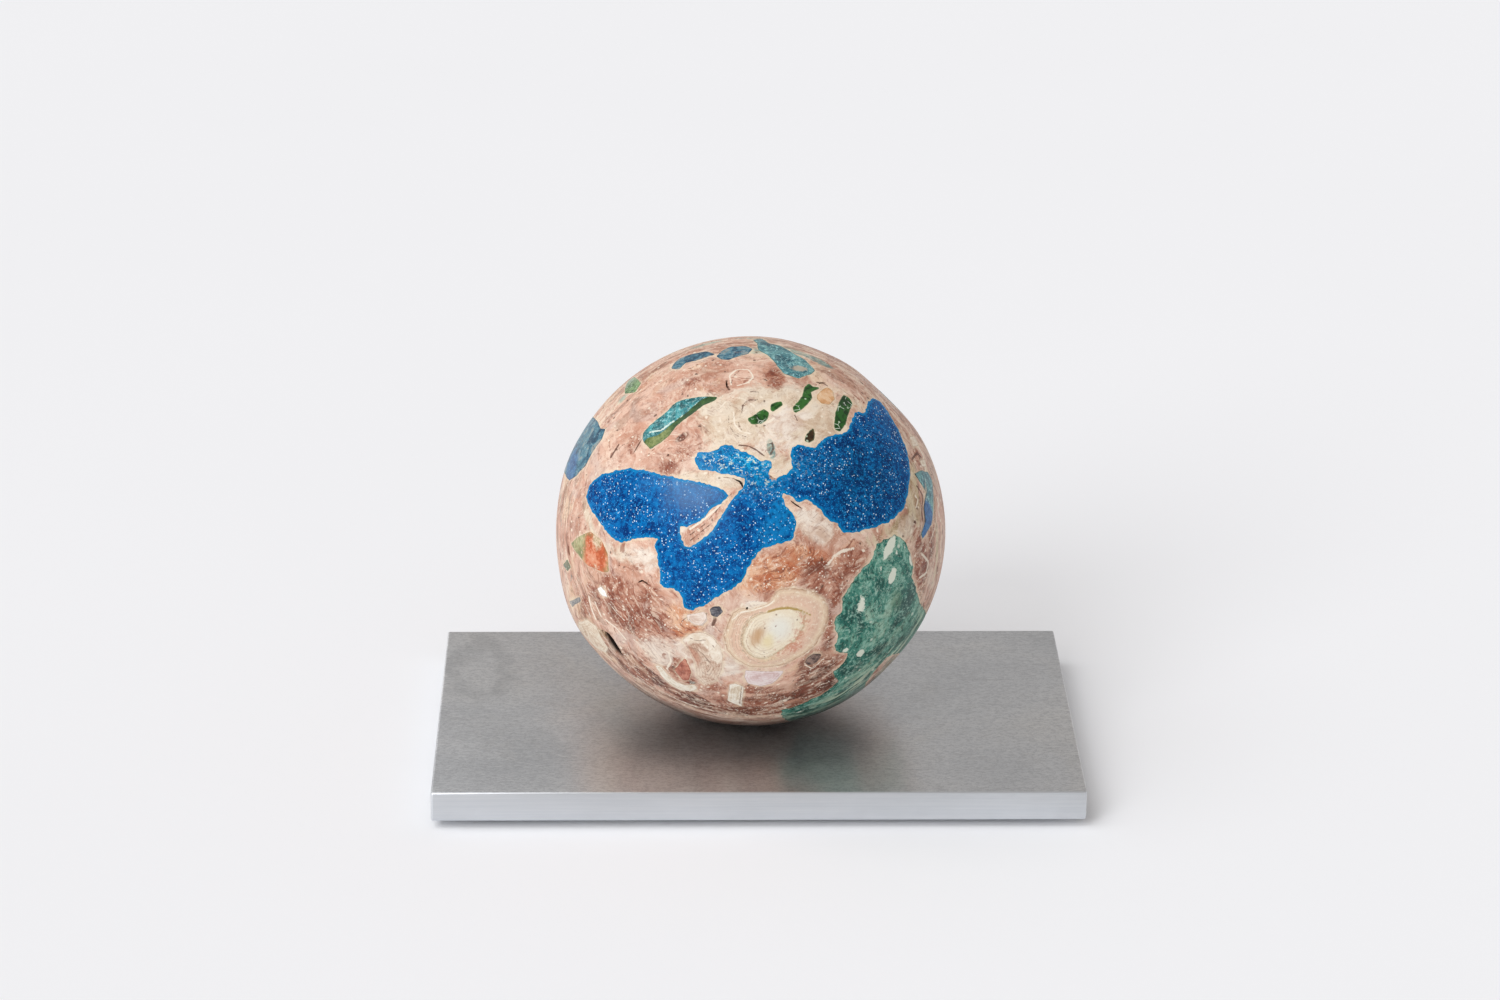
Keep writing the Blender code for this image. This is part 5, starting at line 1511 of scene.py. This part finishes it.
def build_plate():
    """One flat plate, its edges eased by hand."""
    middle = (PLATE_LOW + PLATE_HIGH) / 2
    size = PLATE_HIGH - PLATE_LOW
    deselect()
    bpy.ops.mesh.primitive_cube_add(size=1, location=middle)
    plate = bpy.context.object
    plate.scale = size
    settle(plate)
    bevel = plate.modifiers.new("eased edges", "BEVEL")
    bevel.width = 0.6 * MM
    bevel.segments = 3
    bevel.limit_method = "ANGLE"
    apply_all(plate)
    bpy.ops.object.mode_set(mode="EDIT")
    bpy.ops.mesh.select_all(action="SELECT")
    bpy.ops.mesh.normals_make_consistent(inside=False)
    bpy.ops.object.mode_set(mode="OBJECT")
    # reflections spread across the brushing, which runs along the plate's length
    for layer in list(plate.data.uv_layers):
        plate.data.uv_layers.remove(layer)
    brushing = plate.data.uv_layers.new(name="brushing")
    for loop in plate.data.loops:
        x, y, z = plate.data.vertices[loop.vertex_index].co
        brushing.data[loop.index].uv = (4 * (y + z) + 0.5, 4 * (x + 0.2 * (y - z)) + 0.5)
    return plate


def build_stage():
    deselect()
    bpy.ops.mesh.primitive_plane_add(size=12, location=(0, 2, 0))
    floor = bpy.context.object
    floor.name = "floor"
    floor.data.materials.append(pale_floor())
    settle(floor)

    world = bpy.data.worlds.new("soft white room")
    bpy.context.scene.world = world
    world.use_nodes = True
    world.node_tree.nodes["Background"].inputs["Color"].default_value = (1.0, 0.966, 0.938, 1)
    world.node_tree.nodes["Background"].inputs["Strength"].default_value = 0.50

    # a broad light overhead and to the left, and a weaker one from the front left
    for name, toward, spread, energy in (
        ("broad overhead", Vector((-0.50, -0.10, 0.86)), 50, 1.14),
        ("front left fill", Vector((-0.52, -0.70, 0.49)), 30, 1.22),
    ):
        data = bpy.data.lights.new(name, "SUN")
        data.angle = math.radians(spread)
        data.energy = energy
        data.color = (0.972, 0.984, 1.0)
        lamp = bpy.data.objects.new(name, data)
        lamp.location = toward * 2
        lamp.rotation_euler = toward.to_track_quat("Z", "Y").to_euler()
        bpy.context.scene.collection.objects.link(lamp)
    bpy.context.scene.view_settings.view_transform = "Standard"


# The photograph's camera: its pitch, yaw and roll in degrees, its place from the plate's top in ball radii, its lens
CAMERA_TURN = (21.5, -1.27, -0.40)
CAMERA_PLACE = Vector((-0.51, -21.45, 9.62))
CAMERA_LENS = 108


def build_camera():
    pitch, yaw, roll = (math.radians(degrees) for degrees in CAMERA_TURN)
    right = Vector((math.cos(yaw), math.sin(yaw), 0))
    ahead = Vector((-math.sin(yaw) * math.cos(pitch), math.cos(yaw) * math.cos(pitch), -math.sin(pitch)))
    down = ahead.cross(right)
    leaned_right = right * math.cos(roll) + down * math.sin(roll)
    leaned_down = down * math.cos(roll) - right * math.sin(roll)
    data = bpy.data.cameras.new("camera")
    data.sensor_width = 36
    data.lens = CAMERA_LENS
    data.clip_start = 0.05
    camera = bpy.data.objects.new("camera", data)
    bpy.context.scene.collection.objects.link(camera)
    axes = Matrix((leaned_right, -leaned_down, -ahead)).transposed().to_4x4()
    place = CAMERA_PLACE * BALL_RADIUS + Vector((0, 0, PLATE_HIGH.z))
    camera.matrix_world = Matrix.Translation(place) @ axes
    bpy.context.scene.camera = camera


build()
build_stage()
build_camera()
